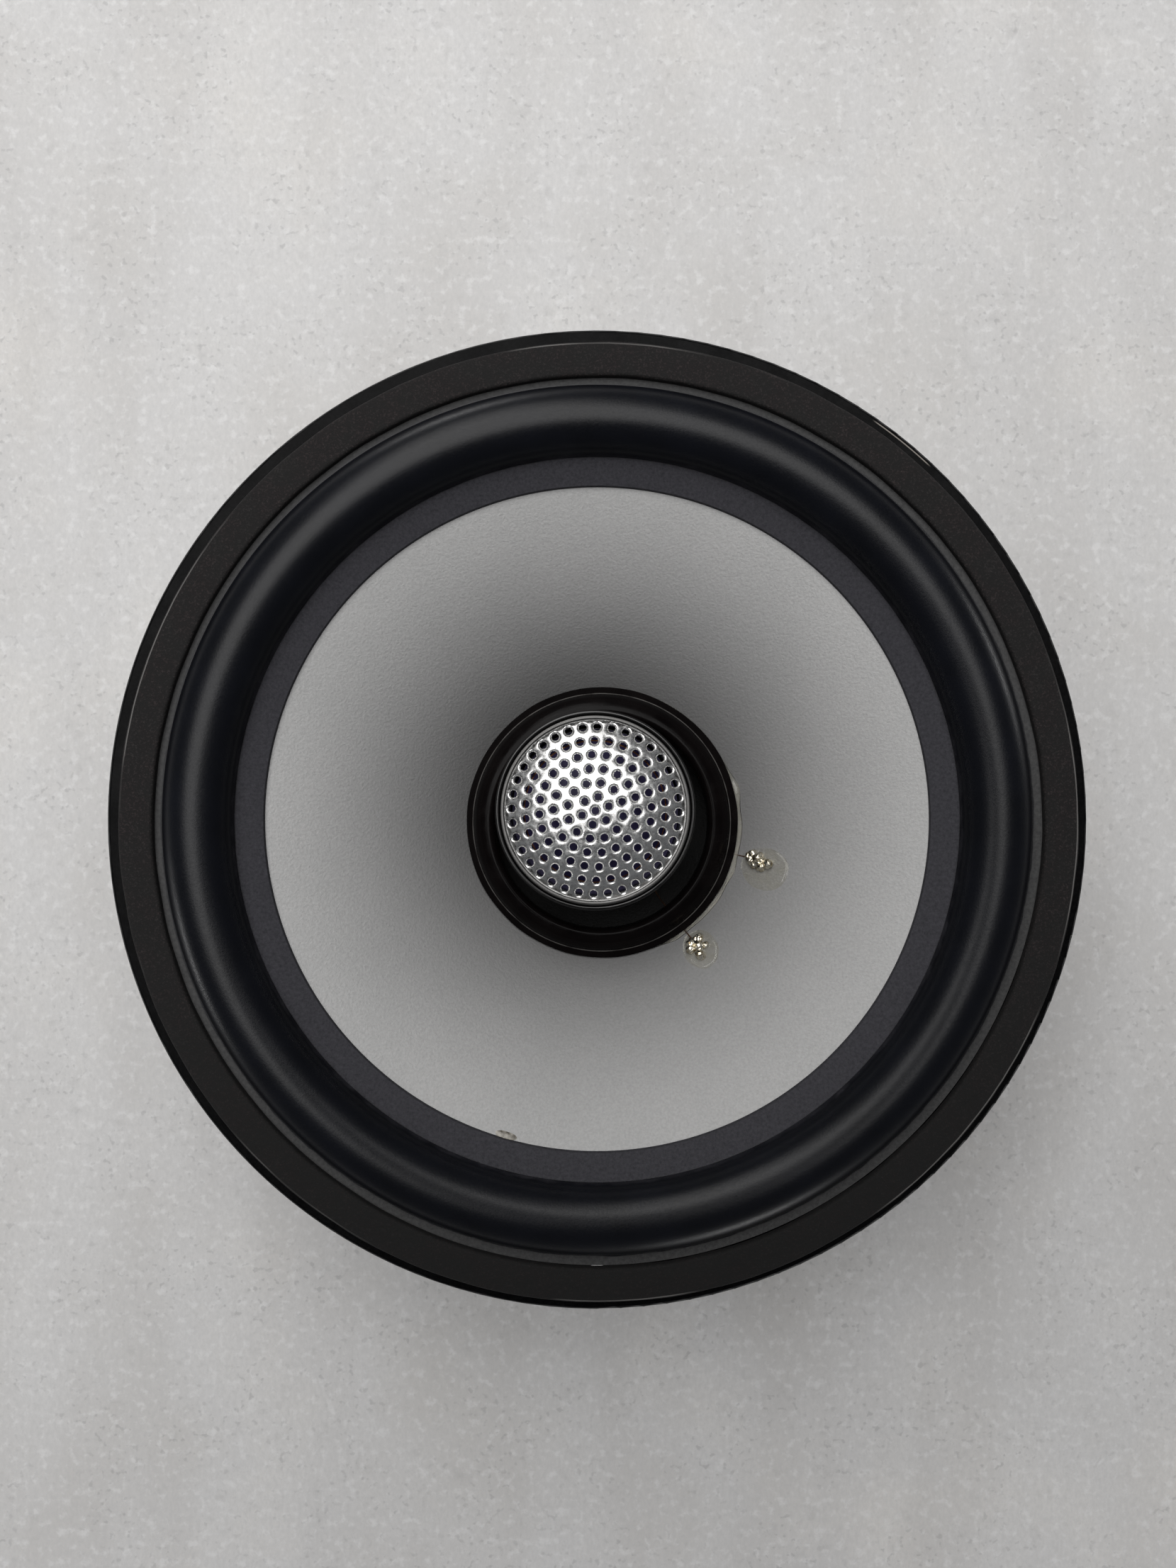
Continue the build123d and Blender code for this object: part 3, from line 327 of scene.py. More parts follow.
class Finish:
    """A procedural material: each method adds one or a few nodes and returns their output."""

    def __init__(self, name, **constants):
        self.material = bpy.data.materials.new(name)
        self.material.use_nodes = True
        self.tree = self.material.node_tree
        self.shader = self.tree.nodes["Principled BSDF"]
        for socket, value in constants.items():
            self.shader.inputs[SOCKETS[socket]].default_value = value
        self.place = self.node("ShaderNodeTexCoord").outputs["Object"]

    def node(self, kind):
        return self.tree.nodes.new(kind)

    def link(self, source, target):
        if isinstance(source, bpy.types.NodeSocket):
            self.tree.links.new(source, target)
        else:
            target.default_value = source

    def noise(self, size, detail=3.0, rough=0.5, place=None, stretch=None):
        """Soft cloud noise whose blobs are about size mm across."""
        made = self.node("ShaderNodeTexNoise")
        made.inputs["Scale"].default_value = 1 / (size * MM)
        made.inputs["Detail"].default_value = detail
        made.inputs["Roughness"].default_value = rough
        self.link(self.stretched(place or self.place, stretch), made.inputs["Vector"])
        return made.outputs["Fac"]

    def cells(self, size):
        """Distance from the nearest of scattered points about size mm apart."""
        made = self.node("ShaderNodeTexVoronoi")
        made.inputs["Scale"].default_value = 1 / (size * MM)
        self.link(self.place, made.inputs["Vector"])
        return made.outputs["Distance"]

    def stretched(self, place, stretch):
        if stretch is None:
            return place
        made = self.node("ShaderNodeMapping")
        self.link(place, made.inputs["Vector"])
        made.inputs["Scale"].default_value = stretch
        return made.outputs["Vector"]

    def ramp(self, source, *stops):
        """A colour for each (position, colour) stop."""
        made = self.node("ShaderNodeValToRGB")
        elements = made.color_ramp.elements
        while len(elements) < len(stops):
            elements.new(0.5)
        for element, (position, colour) in zip(elements, stops):
            element.position = position
            element.color = (*colour, 1.0)
        self.link(source, made.inputs["Fac"])
        return made.outputs["Color"]

    def clouds(self, source, dark, light):
        """Soft clouds between two colours."""
        return self.ramp(source, (NOISE_LOW, dark), (NOISE_HIGH, light))

    def math(self, operation, first, second=0.0, clamp=False):
        made = self.node("ShaderNodeMath")
        made.operation = operation
        made.use_clamp = clamp
        self.link(first, made.inputs[0])
        self.link(second, made.inputs[1])
        return made.outputs[0]

    def times(self, first, second):
        return self.math("MULTIPLY", first, second)

    def span(self, source, low, high, to_low=0.0, to_high=1.0):
        """source mapped smoothly from low..high to to_low..to_high, and held outside."""
        made = self.node("ShaderNodeMapRange")
        made.interpolation_type = "SMOOTHSTEP"
        self.link(source, made.inputs["Value"])
        for name, value in (("From Min", low), ("From Max", high), ("To Min", to_low), ("To Max", to_high)):
            made.inputs[name].default_value = value
        return made.outputs["Result"]

    def stripe(self, source, begin, full, fade, end):
        """0, then 1 from full to fade, then 0 again from end on, with soft edges."""
        return self.times(self.span(source, begin, full), self.span(source, fade, end, 1.0, 0.0))

    def ragged(self, source, size, detail, amount):
        """A distance made uneven by amount mm, in blobs about size mm across."""
        stray = self.math("SUBTRACT", self.noise(size, detail), 0.5)
        return self.math("ADD", source, self.times(stray, amount * MM))

    def blend(self, factor, first, second, mode="MIX"):
        made = self.node("ShaderNodeMix")
        made.data_type = "RGBA"
        made.blend_type = mode
        self.link(factor, made.inputs["Factor"])
        for socket, value in (("A", first), ("B", second)):
            target = next(i for i in made.inputs if i.name == socket and i.type == "RGBA")
            if isinstance(value, tuple):
                value = (*value, 1.0)
            self.link(value, target)
        return next(o for o in made.outputs if o.type == "RGBA")

    def axis(self, name):
        """X, Y or Z of the place, in metres."""
        made = self.node("ShaderNodeSeparateXYZ")
        self.link(self.place, made.inputs[0])
        return made.outputs[name]

    def radius(self, centre=(0.0, 0.0)):
        """Distance from a vertical axis, in metres."""
        across = self.math("SUBTRACT", self.axis("X"), centre[0] * MM)
        along = self.math("SUBTRACT", self.axis("Y"), centre[1] * MM)
        return self.math("SQRT", self.math("ADD", self.times(across, across), self.times(along, along)))

    def lines(self, source, pitch, detail=4.0):
        """Noise that changes only with one measure, as turning marks do."""
        made = self.node("ShaderNodeCombineXYZ")
        self.link(source, made.inputs[0])
        return self.noise(pitch, detail, 0.6, made.outputs[0])

    def waves(self, source, pitch):
        """A sine wave, pitch mm long."""
        return self.math("SINE", self.times(source, math.tau / (pitch * MM)))

    def weave(self, pitch):
        """Crossed threads pitch mm apart, from -1 to 1."""
        return self.times(self.waves(self.axis("X"), pitch), self.waves(self.axis("Y"), pitch))

    def colour(self, source):
        self.link(source, self.shader.inputs["Base Color"])

    def rough(self, source, low, high):
        """Roughness between low and high as a noise goes from dark to light."""
        self.link(self.span(source, NOISE_LOW, NOISE_HIGH, low, high), self.shader.inputs["Roughness"])

    def bump(self, *layers):
        """Bumps, each (height source, depth in mm), stacked."""
        normal = None
        for source, depth in layers:
            made = self.node("ShaderNodeBump")
            made.inputs["Distance"].default_value = depth * MM
            self.link(source, made.inputs["Height"])
            if normal is not None:
                self.link(normal, made.inputs["Normal"])
            normal = made.outputs["Normal"]
        self.link(normal, self.shader.inputs["Normal"])


# ---- materials ----------------------------------------------------------------------------------------
def clouded(name, cloud, dark, light, gloss, rough, relief, depth, **constants):
    """A finish clouded between two colours; cloud, gloss and relief are the (size, detail) of noises."""
    f = Finish(name, **constants)
    f.colour(f.clouds(f.noise(*cloud), dark, light))
    f.rough(f.noise(*gloss), *rough)
    f.bump((f.noise(*relief), depth))
    return f.material


def cone_paper():
    """Pale grey pulp with a fine pebbled face and faint clouding; painted shade darkens it towards the
    throat and makes it near black inside the throat ring.
    """
    f = Finish("cone_paper")
    pebble = f.noise(0.45, 2.0, 0.6)
    fibre = f.noise(0.9, 4.0, 0.7, stretch=(1.0, 1.0, 0.4))
    base = f.ramp(f.noise(22.0), (0.35, (0.435, 0.435, 0.432)), (0.65, (0.460, 0.458, 0.455)))
    shade = f.clouds(pebble, (0.84, 0.84, 0.84), (1.0, 1.0, 1.0))
    pulp = f.blend(1.0, base, shade, "MULTIPLY")
    # painted shade: the pulp darkens towards the throat, for the shade deep in the cone
    throat = f.span(f.radius(), 14 * MM, 60 * MM, 0.92, 0.0)
    pulp_with_painted_shade = f.blend(throat, pulp, (0.06, 0.06, 0.06))
    # painted shade: near black inside 22 mm of the throat ring's centre, for the shade in the recess under
    # the ring and round the pod
    painted_ring_shade = f.span(f.radius(RING_CENTRE), 21.5 * MM, 22.5 * MM, 1.0, 0.0)
    f.colour(f.blend(painted_ring_shade, pulp_with_painted_shade, (0.004, 0.004, 0.004)))
    f.rough(fibre, 0.60, 0.75)
    f.bump((pebble, 0.11), (fibre, 0.06))
    return f.material


def surround_rubber():
    """Black moulded rubber, satin on the roll and chalky on its two flat bands."""
    f = Finish("surround_rubber", specular=0.22)
    edge = f.ragged(f.radius(), 3.0, 3.0, 0.5)
    inner = f.span(edge, (ROLL_INNER - 0.2) * MM, (ROLL_INNER + 0.15) * MM, 1.0, 0.0)
    outer = f.span(edge, (ROLL_OUTER + 0.3) * MM, (ROLL_OUTER + 0.5) * MM)
    bands = f.math("ADD", inner, outer, clamp=True)
    fine = f.noise(0.35, 3.0, 0.6)
    roll = f.clouds(f.noise(9.0, 4.0), (0.0019, 0.0023, 0.0038), (0.0036, 0.0042, 0.0068))
    chalk = f.clouds(f.noise(0.5, 5.0, 0.75), (0.018, 0.018, 0.022), (0.046, 0.045, 0.053))
    pale = f.clouds(f.noise(0.6, 5.0, 0.75), (0.030, 0.030, 0.031), (0.064, 0.064, 0.064))
    f.colour(f.blend(outer, f.blend(inner, roll, chalk), pale))
    satin = f.span(fine, NOISE_LOW, NOISE_HIGH, 0.30, 0.38)
    f.link(f.math("ADD", satin, f.times(bands, 0.38)), f.shader.inputs["Roughness"])
    f.bump((fine, 0.018), (f.noise(5.0, 2.0), 0.02))
    return f.material


def gasket_foam():
    """Closed-cell foam: dark, mottled brown and olive; painted shade darkens it towards the bottom, and a
    pale line in pieces along its cut edge is a painted highlight.
    """
    f = Finish("gasket_foam", specular=0.4)
    mottle = f.noise(1.1, 5.0, 0.75)
    grain = f.noise(0.3, 3.0, 0.7)
    pores, skin, fuzz = 0.36, 0.52, 0.70
    brown = f.ramp(grain, (pores, (0.0014, 0.0009, 0.0010)), (skin, (0.0062, 0.0048, 0.0050)),
                   (fuzz, (0.036, 0.029, 0.029)))
    olive = f.ramp(grain, (pores, (0.0012, 0.0010, 0.0010)), (skin, (0.0056, 0.0051, 0.0051)),
                   (fuzz, (0.029, 0.0262, 0.0262)))
    mixed = f.blend(f.span(f.noise(4.0), 0.4, 0.6), brown, olive)
    # painted shade: the foam darkens towards the bottom (-Y), where the light falls off
    painted_lower_shade = f.span(f.axis("Y"), -60 * MM, 0.0, 0.48, 0.0)
    foam = f.blend(painted_lower_shade, mixed, (0.0016, 0.0019, 0.0017))
    edge = outer_radius("front_gasket")
    # painted highlight: a pale line along the foam's outer edge, in pieces
    line = f.stripe(f.radius(GASKET_CENTRE), *[(edge - inset) * MM for inset in (0.62, 0.50, 0.42, 0.30)])
    highlight_breaks = f.span(f.noise(45.0), 0.46, 0.58, 0.0, 0.8)
    f.colour(f.blend(f.times(line, highlight_breaks), foam, (0.16, 0.155, 0.15)))
    f.rough(grain, 0.8, 1.0)
    f.bump((mottle, 0.14), (grain, 0.10))
    return f.material


def black_enamel():
    """Stoved black paint with a painted highlight along the rim's outer edge, and one scratch at the upper
    right.
    """
    f = Finish("black_enamel", specular=0.04)
    rim = cad_box[1].x
    radius = f.radius()
    # painted highlight: a pale line just inside the rim's outer edge
    painted_edge_highlight = f.span(f.ragged(radius, 4.0, 4.0, 0.35), rim - 0.42 * MM, rim - 0.22 * MM)
    paint = f.ramp(f.noise(0.5, 4.0, 0.7), (0.45, (0.0011, 0.0011, 0.0013)), (0.85, (0.006, 0.006, 0.0065)))
    paint_with_highlight = f.blend(f.times(painted_edge_highlight, 0.6), paint, (0.07, 0.07, 0.07))
    turn = f.math("ARCTAN2", f.axis("Y"), f.axis("X"))
    along = f.stripe(turn, *[math.radians(degrees) for degrees in (46.5, 47.5, 54.5, 55.5)])
    across = f.stripe(radius, *[rim - inset * MM for inset in (0.92, 0.86, 0.74, 0.68)])
    f.colour(f.blend(f.times(along, across), paint_with_highlight, (0.22, 0.20, 0.18)))
    f.rough(f.noise(6.0), 0.24, 0.40)
    f.bump((f.noise(1.4, 2.0), 0.012))
    return f.material


def ring_plastic():
    """Satin black moulding with a faint brown cast and a painted highlight along the edge of its step."""
    f = Finish("ring_plastic", specular=0.06)
    line = [(RING_STEP + aside) * MM for aside in (-0.12, -0.05, 0.05, 0.12)]
    # painted highlight: a pale line along the step's edge, in pieces
    edge = f.stripe(f.radius(RING_CENTRE), *line)
    highlight_breaks = f.span(f.noise(3.0, 4.0), 0.3, 0.6, 0.25, 0.85)
    base = f.clouds(f.noise(5.0, 4.0), (0.0024, 0.0018, 0.0019), (0.0044, 0.0034, 0.0034))
    f.colour(f.blend(f.times(edge, highlight_breaks), base, (0.11, 0.105, 0.10)))
    f.rough(f.noise(2.5, 4.0), 0.18, 0.30)
    f.bump((f.noise(0.5), 0.008), (f.noise(4.0, 2.0), 0.02))
    return f.material


def pod_plastic():
    """Glossy black moulding with faint pale turning marks round the tweeter."""
    f = Finish("pod_plastic", specular=0.45)
    base = f.clouds(f.noise(3.0, 4.0), (0.0020, 0.0018, 0.0019), (0.0040, 0.0036, 0.0036))
    marks = f.lines(f.radius(POD_CENTRE), 0.42)
    f.colour(f.blend(f.span(marks, 0.60, 0.72, 0.0, 0.7), base, (0.050, 0.048, 0.047)))
    f.rough(f.noise(1.8, 4.0), 0.12, 0.24)
    f.bump((f.noise(0.9, 2.0), 0.006), (marks, 0.03))
    return f.material


def grille_metal():
    """Bright plating over pressed sheet: fine wrinkles and a few darker scuffs."""
    f = Finish("grille_metal", metallic=1.0)
    wrinkle = f.noise(0.55, 4.0, 0.65)
    f.colour(f.ramp(f.noise(2.2, 5.0, 0.7), (0.28, (0.62, 0.61, 0.60)), (0.55, (0.84, 0.84, 0.83))))
    f.rough(wrinkle, 0.22, 0.36)
    f.bump((wrinkle, 0.02), (f.noise(1.8, 2.0), 0.03))
    return f.material


def satin_trim():
    """Anodised ring, gunmetal, with fine turning marks."""
    f = Finish("satin_trim", metallic=1.0)
    radius = f.radius(POD_CENTRE)
    f.colour(f.ramp(f.lines(radius, 0.22), (0.4, (0.045, 0.044, 0.043)), (0.6, (0.17, 0.168, 0.165))))
    f.rough(f.lines(radius, 0.15), 0.25, 0.45)
    f.bump((f.lines(radius, 0.12), 0.006))
    return f.material


def clear_glue(name, ior):
    """Clear rubbery glue, a little yellow, with a wavy skin."""
    return clouded(name, (1.5, 3.0), (0.88, 0.86, 0.77), (0.95, 0.94, 0.89), gloss=(1.0, 3.0),
                   rough=(0.01, 0.06), relief=(2.2, 2.0), depth=0.006, transmission=1.0, ior=ior)


def dried_glue():
    """A smear of yellowed glue with dirt in it."""
    f = Finish("dried_glue")
    f.colour(f.ramp(f.noise(0.9, 4.0), (0.35, (0.10, 0.09, 0.075)), (0.6, (0.36, 0.34, 0.30))))
    f.rough(f.noise(0.7), 0.25, 0.5)
    f.bump((f.noise(0.8), 0.08))
    return f.material


def solder_metal():
    """Bright lumpy solder with warm flux in its hollows."""
    f = Finish("solder_metal", metallic=1.0)
    flux = f.noise(0.9, 4.0, 0.6)
    f.colour(f.ramp(flux, (0.32, (0.34, 0.26, 0.15)), (0.52, (0.76, 0.71, 0.58)), (0.8, (0.90, 0.88, 0.82))))
    f.rough(f.noise(0.5), 0.15, 0.4)
    f.bump((f.noise(0.35), 0.03))
    return f.material


def dome_silk(name="dome_silk"):
    """Coated indigo silk: a fine weave under a satin coat."""
    f = Finish(name)
    f.colour(f.clouds(f.noise(3.0, 4.0), (0.040, 0.034, 0.105), (0.075, 0.060, 0.165)))
    f.rough(f.noise(0.8), 0.28, 0.45)
    f.bump((f.weave(0.25), 0.01))
    return f.material


def zinc_steel(name="zinc_steel", centre=(0.0, 0.0)):
    """Turned and zinc-plated steel: fine concentric marks, cloudy tint, small stains."""
    f = Finish(name, metallic=1.0)
    marks = f.lines(f.radius(centre), 0.22)
    stain = f.span(f.noise(2.5, 6.0, 0.75), 0.58, 0.72)
    cloud = f.noise(7.0, 5.0, 0.6)
    base = f.ramp(cloud, (0.3, (0.46, 0.46, 0.44)), (0.5, (0.58, 0.57, 0.53)), (0.7, (0.62, 0.60, 0.52)))
    f.colour(f.blend(f.times(stain, 0.35), base, (0.22, 0.20, 0.17)))
    f.rough(marks, 0.26, 0.5)
    f.bump((marks, 0.012), (f.noise(0.4), 0.006))
    return f.material


def ferrite():
    """Ground ceramic magnet: charcoal, with faint grinding rings and chipped grains."""
    f = Finish("ferrite")
    grain = f.noise(0.35, 4.0, 0.7)
    chips = f.span(f.cells(1.6), 0.05, 0.22, 1.0, 0.0)
    base = f.ramp(grain, (0.35, (0.022, 0.022, 0.024)), (0.7, (0.056, 0.056, 0.060)))
    f.colour(f.blend(f.times(chips, 0.3), base, (0.10, 0.10, 0.105)))
    f.rough(f.noise(3.0, 4.0), 0.42, 0.7)
    f.bump((grain, 0.03), (f.lines(f.radius(), 0.5), 0.01))
    return f.material


def spider_cloth():
    """Resin-dipped woven cotton, amber."""
    f = Finish("spider_cloth")
    weave = f.weave(0.7)
    thread = f.math("ADD", f.times(weave, 0.5), 0.5)
    dark = f.clouds(f.noise(6.0, 4.0), (0.30, 0.155, 0.035), (0.42, 0.23, 0.06))
    light = f.clouds(f.noise(1.5, 4.0), (0.55, 0.34, 0.10), (0.68, 0.46, 0.17))
    f.colour(f.blend(thread, dark, light))
    f.rough(f.noise(2.0), 0.6, 0.9)
    f.bump((weave, 0.08), (f.noise(0.3), 0.03))
    return f.material


def wound_copper():
    """Copper windings side by side, enamelled."""
    f = Finish("wound_copper", metallic=1.0)
    f.colour(f.clouds(f.noise(2.0, 4.0), (0.60, 0.24, 0.09), (0.80, 0.38, 0.17)))
    f.rough(f.noise(1.0), 0.2, 0.4)
    f.bump((f.waves(f.axis("Z"), 0.25), 0.05))
    return f.material


def film_amber():
    """Amber plastic film of the coil formers."""
    return clouded("film_amber", (4.0, 4.0), (0.38, 0.16, 0.03), (0.55, 0.27, 0.07),
                   gloss=(1.5, 3.0), rough=(0.2, 0.4), relief=(0.8, 3.0), depth=0.01)


def board_paper():
    """Phenolic paper board: brown, with fine fibre flecks."""
    f = Finish("board_paper")
    fleck = f.noise(0.7, 5.0, 0.75, stretch=(1.0, 1.0, 3.0))
    f.colour(f.ramp(fleck, (0.3, (0.105, 0.042, 0.014)), (0.55, (0.175, 0.080, 0.030)),
                    (0.75, (0.26, 0.135, 0.058))))
    f.rough(f.noise(2.0, 4.0), 0.38, 0.65)
    f.bump((fleck, 0.02))
    return f.material


def tinned_brass():
    """Tin plating over brass, cloudy and drawn along its height."""
    f = Finish("tinned_brass", metallic=1.0)
    cloud = f.noise(1.8, 5.0, 0.65)
    f.colour(f.ramp(cloud, (0.3, (0.50, 0.46, 0.34)), (0.55, (0.68, 0.66, 0.60)), (0.8, (0.76, 0.75, 0.71))))
    f.rough(f.noise(0.6, 4.0, stretch=(1.0, 1.0, 6.0)), 0.2, 0.45)
    f.bump((f.noise(0.4), 0.008))
    return f.material


def capacitor_sleeve():
    """Dark blue shrunk sleeve."""
    return clouded("capacitor_sleeve", (2.5, 4.0), (0.009, 0.015, 0.055), (0.016, 0.026, 0.085),
                   gloss=(1.2, 4.0), rough=(0.18, 0.36), relief=(1.0, 2.0), depth=0.02)


def turned_aluminium():
    """Aluminium with turning marks all along its height."""
    f = Finish("turned_aluminium", metallic=1.0)
    marks = f.lines(f.axis("Z"), 0.3)
    f.colour(f.clouds(f.noise(4.0, 4.0), (0.60, 0.60, 0.61), (0.74, 0.74, 0.75)))
    f.rough(marks, 0.22, 0.42)
    f.bump((marks, 0.01))
    return f.material


def tinsel_braid():
    """Woven copper tinsel, a little tarnished."""
    return clouded("tinsel_braid", (0.6, 4.0), (0.45, 0.24, 0.12), (0.76, 0.52, 0.33),
                   gloss=(0.4, 3.0), rough=(0.25, 0.5), relief=(0.25, 2.0), depth=0.03, metallic=1.0)


def lead_enamel():
    """Fine copper wire under dark brown enamel."""
    return clouded("lead_enamel", (0.8, 4.0), (0.020, 0.012, 0.008), (0.085, 0.042, 0.022),
                   gloss=(0.5, 3.0), rough=(0.18, 0.34), relief=(0.3, 2.0), depth=0.008)


def wire_sleeve():
    """Black wire insulation."""
    return clouded("wire_sleeve", (2.0, 4.0), (0.009, 0.009, 0.010), (0.018, 0.018, 0.020),
                   gloss=(1.0, 3.0), rough=(0.32, 0.55), relief=(0.8, 3.0), depth=0.015)


def stone_floor():
    """Pale grey stone: soft clouds and streaks, a fine grain, and scattered small grey flecks."""
    f = Finish("stone_floor", specular=0.2)
    cloud = f.noise(60.0, 4.0, 0.55)
    grain = f.noise(0.9, 5.0, 0.7, stretch=(1.0, 0.6, 1.0))
    base = f.ramp(cloud, (0.32, (0.570, 0.560, 0.548)), (0.50, (0.610, 0.606, 0.604)),
                  (0.68, (0.650, 0.638, 0.622)))
    streak = f.span(f.noise(30.0, stretch=(1.0, 0.22, 1.0)), 0.42, 0.66, 0.0, 0.34)
    streaked = f.blend(streak, base, (0.47, 0.455, 0.44))
    fine = f.blend(f.span(grain, 0.35, 0.65, 0.0, 0.26), streaked, (0.44, 0.44, 0.44))
    pale = f.blend(f.span(f.noise(2.2, 4.0, 0.6), 0.50, 0.70, 0.0, 0.42), fine, (0.76, 0.76, 0.76))
    smudge = f.blend(f.span(f.noise(4.5, 4.0, 0.6), 0.55, 0.75, 0.0, 0.30), pale, (0.40, 0.395, 0.39))
    fleck = f.span(f.noise(1.4, 2.0, 0.4), 0.58, 0.70)
    patch = f.span(f.noise(16.0), 0.42, 0.60, 0.15, 1.0)
    f.colour(f.blend(f.times(f.times(fleck, patch), 0.30), smudge, (0.25, 0.25, 0.255)))
    f.rough(cloud, 0.5, 0.7)
    f.bump((grain, 0.03))
    return f.material


# ---- suspension parts that bend -----------------------------------------------------------------------
def smooth(share):
    share = min(max(share, 0.0), 1.0)
    return share * share * (3 - 2 * share)


def flex(piece, fixed, moving, fixed_radius, moving_radius, centre=(0.0, 0.0)):
    """Bend a ring-shaped piece across a joint: still at one radius, carried along at the other."""
    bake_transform(piece, fixed, moving, start=(fixed_radius * MM, 0, 0), end=(moving_radius * MM, 0, 0))
    weights = piece.data.attributes["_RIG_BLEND"].data
    for vertex, weight in zip(piece.data.vertices, weights):
        radius = math.hypot(vertex.co.x / MM - centre[0], vertex.co.y / MM - centre[1])
        weight.value = smooth((radius - fixed_radius) / (moving_radius - fixed_radius))


def flex_along(piece, fixed, moving, line):
    """Bend a wire across a joint: still at its line's first point, carried along at its last."""
    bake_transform(piece, fixed, moving, start=tuple(line[0] * MM), end=tuple(line[-1] * MM))
    tree = kdtree.KDTree(len(line))
    for index, point in enumerate(line):
        tree.insert(point, index)
    tree.balance()
    weights = piece.data.attributes["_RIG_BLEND"].data
    for vertex, weight in zip(piece.data.vertices, weights):
        nearest = tree.find(vertex.co / MM)[1]
        weight.value = smooth(nearest / (len(line) - 1))


def build_surround():
    """Outer band, half roll and inner band; it flexes as the cone travels."""
    crease = 0.3
    roll_steps = 48
    under_steps = 40
    band_steps = 10
    low = FLANGE_TOP
    top = low + RUBBER
    edge, _, crest = sizes_of("surround")
    middle = (ROLL_INNER + ROLL_OUTER) / 2
    inner_top = (ROLL_INNER, cone_height(ROLL_INNER, GLUE_GAP + RUBBER))
    inner_low = (ROLL_INNER + RUBBER, cone_height(ROLL_INNER + RUBBER, GLUE_GAP))
    outline = [(edge, low), (edge, top), (edge - 0.6, top), (ROLL_OUTER + crease, top)]
    outline += arc((ROLL_OUTER, top + 0.02), (middle, crest), inner_top, roll_steps)
    outline += reversed(cone_line(BAND_INNER + 0.12, ROLL_INNER - 0.4, GLUE_GAP + RUBBER, band_steps))
    outline += cone_line(BAND_INNER, ROLL_INNER + RUBBER - 0.2, GLUE_GAP, band_steps)
    outline += arc(inner_low, (middle, crest - RUBBER), (ROLL_OUTER - RUBBER, low), under_steps)
    piece = turned("surround_roll", outline, None, surround_rubber(), "surround")
    flex(piece, ROOT, CONE_BODY, ROLL_OUTER - crease, ROLL_INNER + crease)


def half_waves(first, last, count, level, rise):
    """Points of a row of equal arcs, down and up by turns."""
    step = (last - first) / count
    points = []
    for index in range(count):
        start = first + index * step
        crest = (start + step / 2, level + (rise if index % 2 else -rise))
        points += arc((start, level), crest, (start + step, level), 8)[:-1]
    return points + [(last, level)]


def build_spider():
    """Corrugated cloth disc: twelve half waves between two flat glued bands; it flexes with the cone."""
    skin = 0.4
    inner_band = 2.0
    outer_band = 5.0
    outer, low, top = sizes_of("spider")
    rise = (top - low - skin) / 2
    level = low + rise
    inner = outer_radius("voice_coil_former") + GLUE_GAP
    first = inner + inner_band
    last = outer - outer_band
    waves = half_waves(first, last, 12, level, rise)
    outline = [(inner, level), *waves, (outer, level), (outer, level + skin)]
    outline += [(radius, height + skin) for radius, height in reversed(waves)]
    outline.append((inner, level + skin))
    piece = turned("spider_cloth", outline, None, spider_cloth(), "spider")
    flex(piece, ROOT, CONE_BODY, last, first)


def build_suspension():
    """The tweeter dome's half-roll edge, of the same silk as the dome."""
    skin = 0.2
    node = "tweeter_suspension"
    edge, low, _ = sizes_of(node)
    centre = centre_of(node)
    first = outer_radius("tweeter_dome") + 0.25
    last = outer_radius("tweeter_pot") - 0.6
    middle = (first + last) / 2
    rise = (last - first) / 2
    roll = arc((first, low), (middle, low + rise), (last, low), 14)
    outline = roll + [(edge, low), (edge, low + skin)]
    outline += [(radius, height + skin) for radius, height in reversed(roll)]
    silk = dome_silk("edge_silk")
    piece = turned("dome_edge", outline, None, silk, node, centre, SMALL_ROUND)
    flex(piece, ROOT, TWEETER_BODY, last, first, centre)


# ---- turned pieces ------------------------------------------------------------------------------------
def build_gasket():
    """A foam ring, uneven on its face and edges, with a step underneath over the surround's outer band."""
    edge_play = 0.1              # room inside the CAD ring's outline for the uneven edge and face
    face_play = 0.15
    face_bend = 0.55
    inner = 74.4
    outer, low, top = sizes_of("front_gasket")
    outer -= edge_play
    face = top - face_play
    step = low + RUBBER
    lap = outer_radius("surround") + 0.6

    def wobble(point, radius, angle):
        lump = noise.noise(point * 0.35) * 0.10 + noise.noise(point * 1.3) * 0.04
        point.z += lump if point.z > step + 0.5 else 0.0
        push_out(point, angle, round_noise(angle, 9, 63) * 0.12)
        return point

    outline = rounded([
        (inner, step, 0.1), (lap, step, 0.05), (lap, low, 0.05), (outer, low, 0.1),
        (outer, face, face_bend), (inner, face, face_bend),
    ])
    foam = gasket_foam()
    turned("gasket", outline, ROOT, foam, "front_gasket", GASKET_CENTRE, ROUND, wobble)


def build_cone():
    """The paper cone, with a surface that is never quite even."""
    inner = CONE_NECK[0] - 0.4
    edge = CONE_EDGE[0]
    outline = cone_line(inner, edge, 0.0, 60) + list(reversed(cone_line(inner, edge, -CONE_SKIN, 40)))

    def wobble(point, radius, angle):
        point.z += noise.noise(point * 0.08) * 0.03
        return point

    turned("cone_paper", outline, CONE_BODY, cone_paper(), "cone", wobble=wobble)


def ring_bulge(angle):
    """How far the throat ring's foot stands out of round, in mm: most on the right."""
    return 0.20 * math.exp(2.5 * (math.cos(angle) - 1))


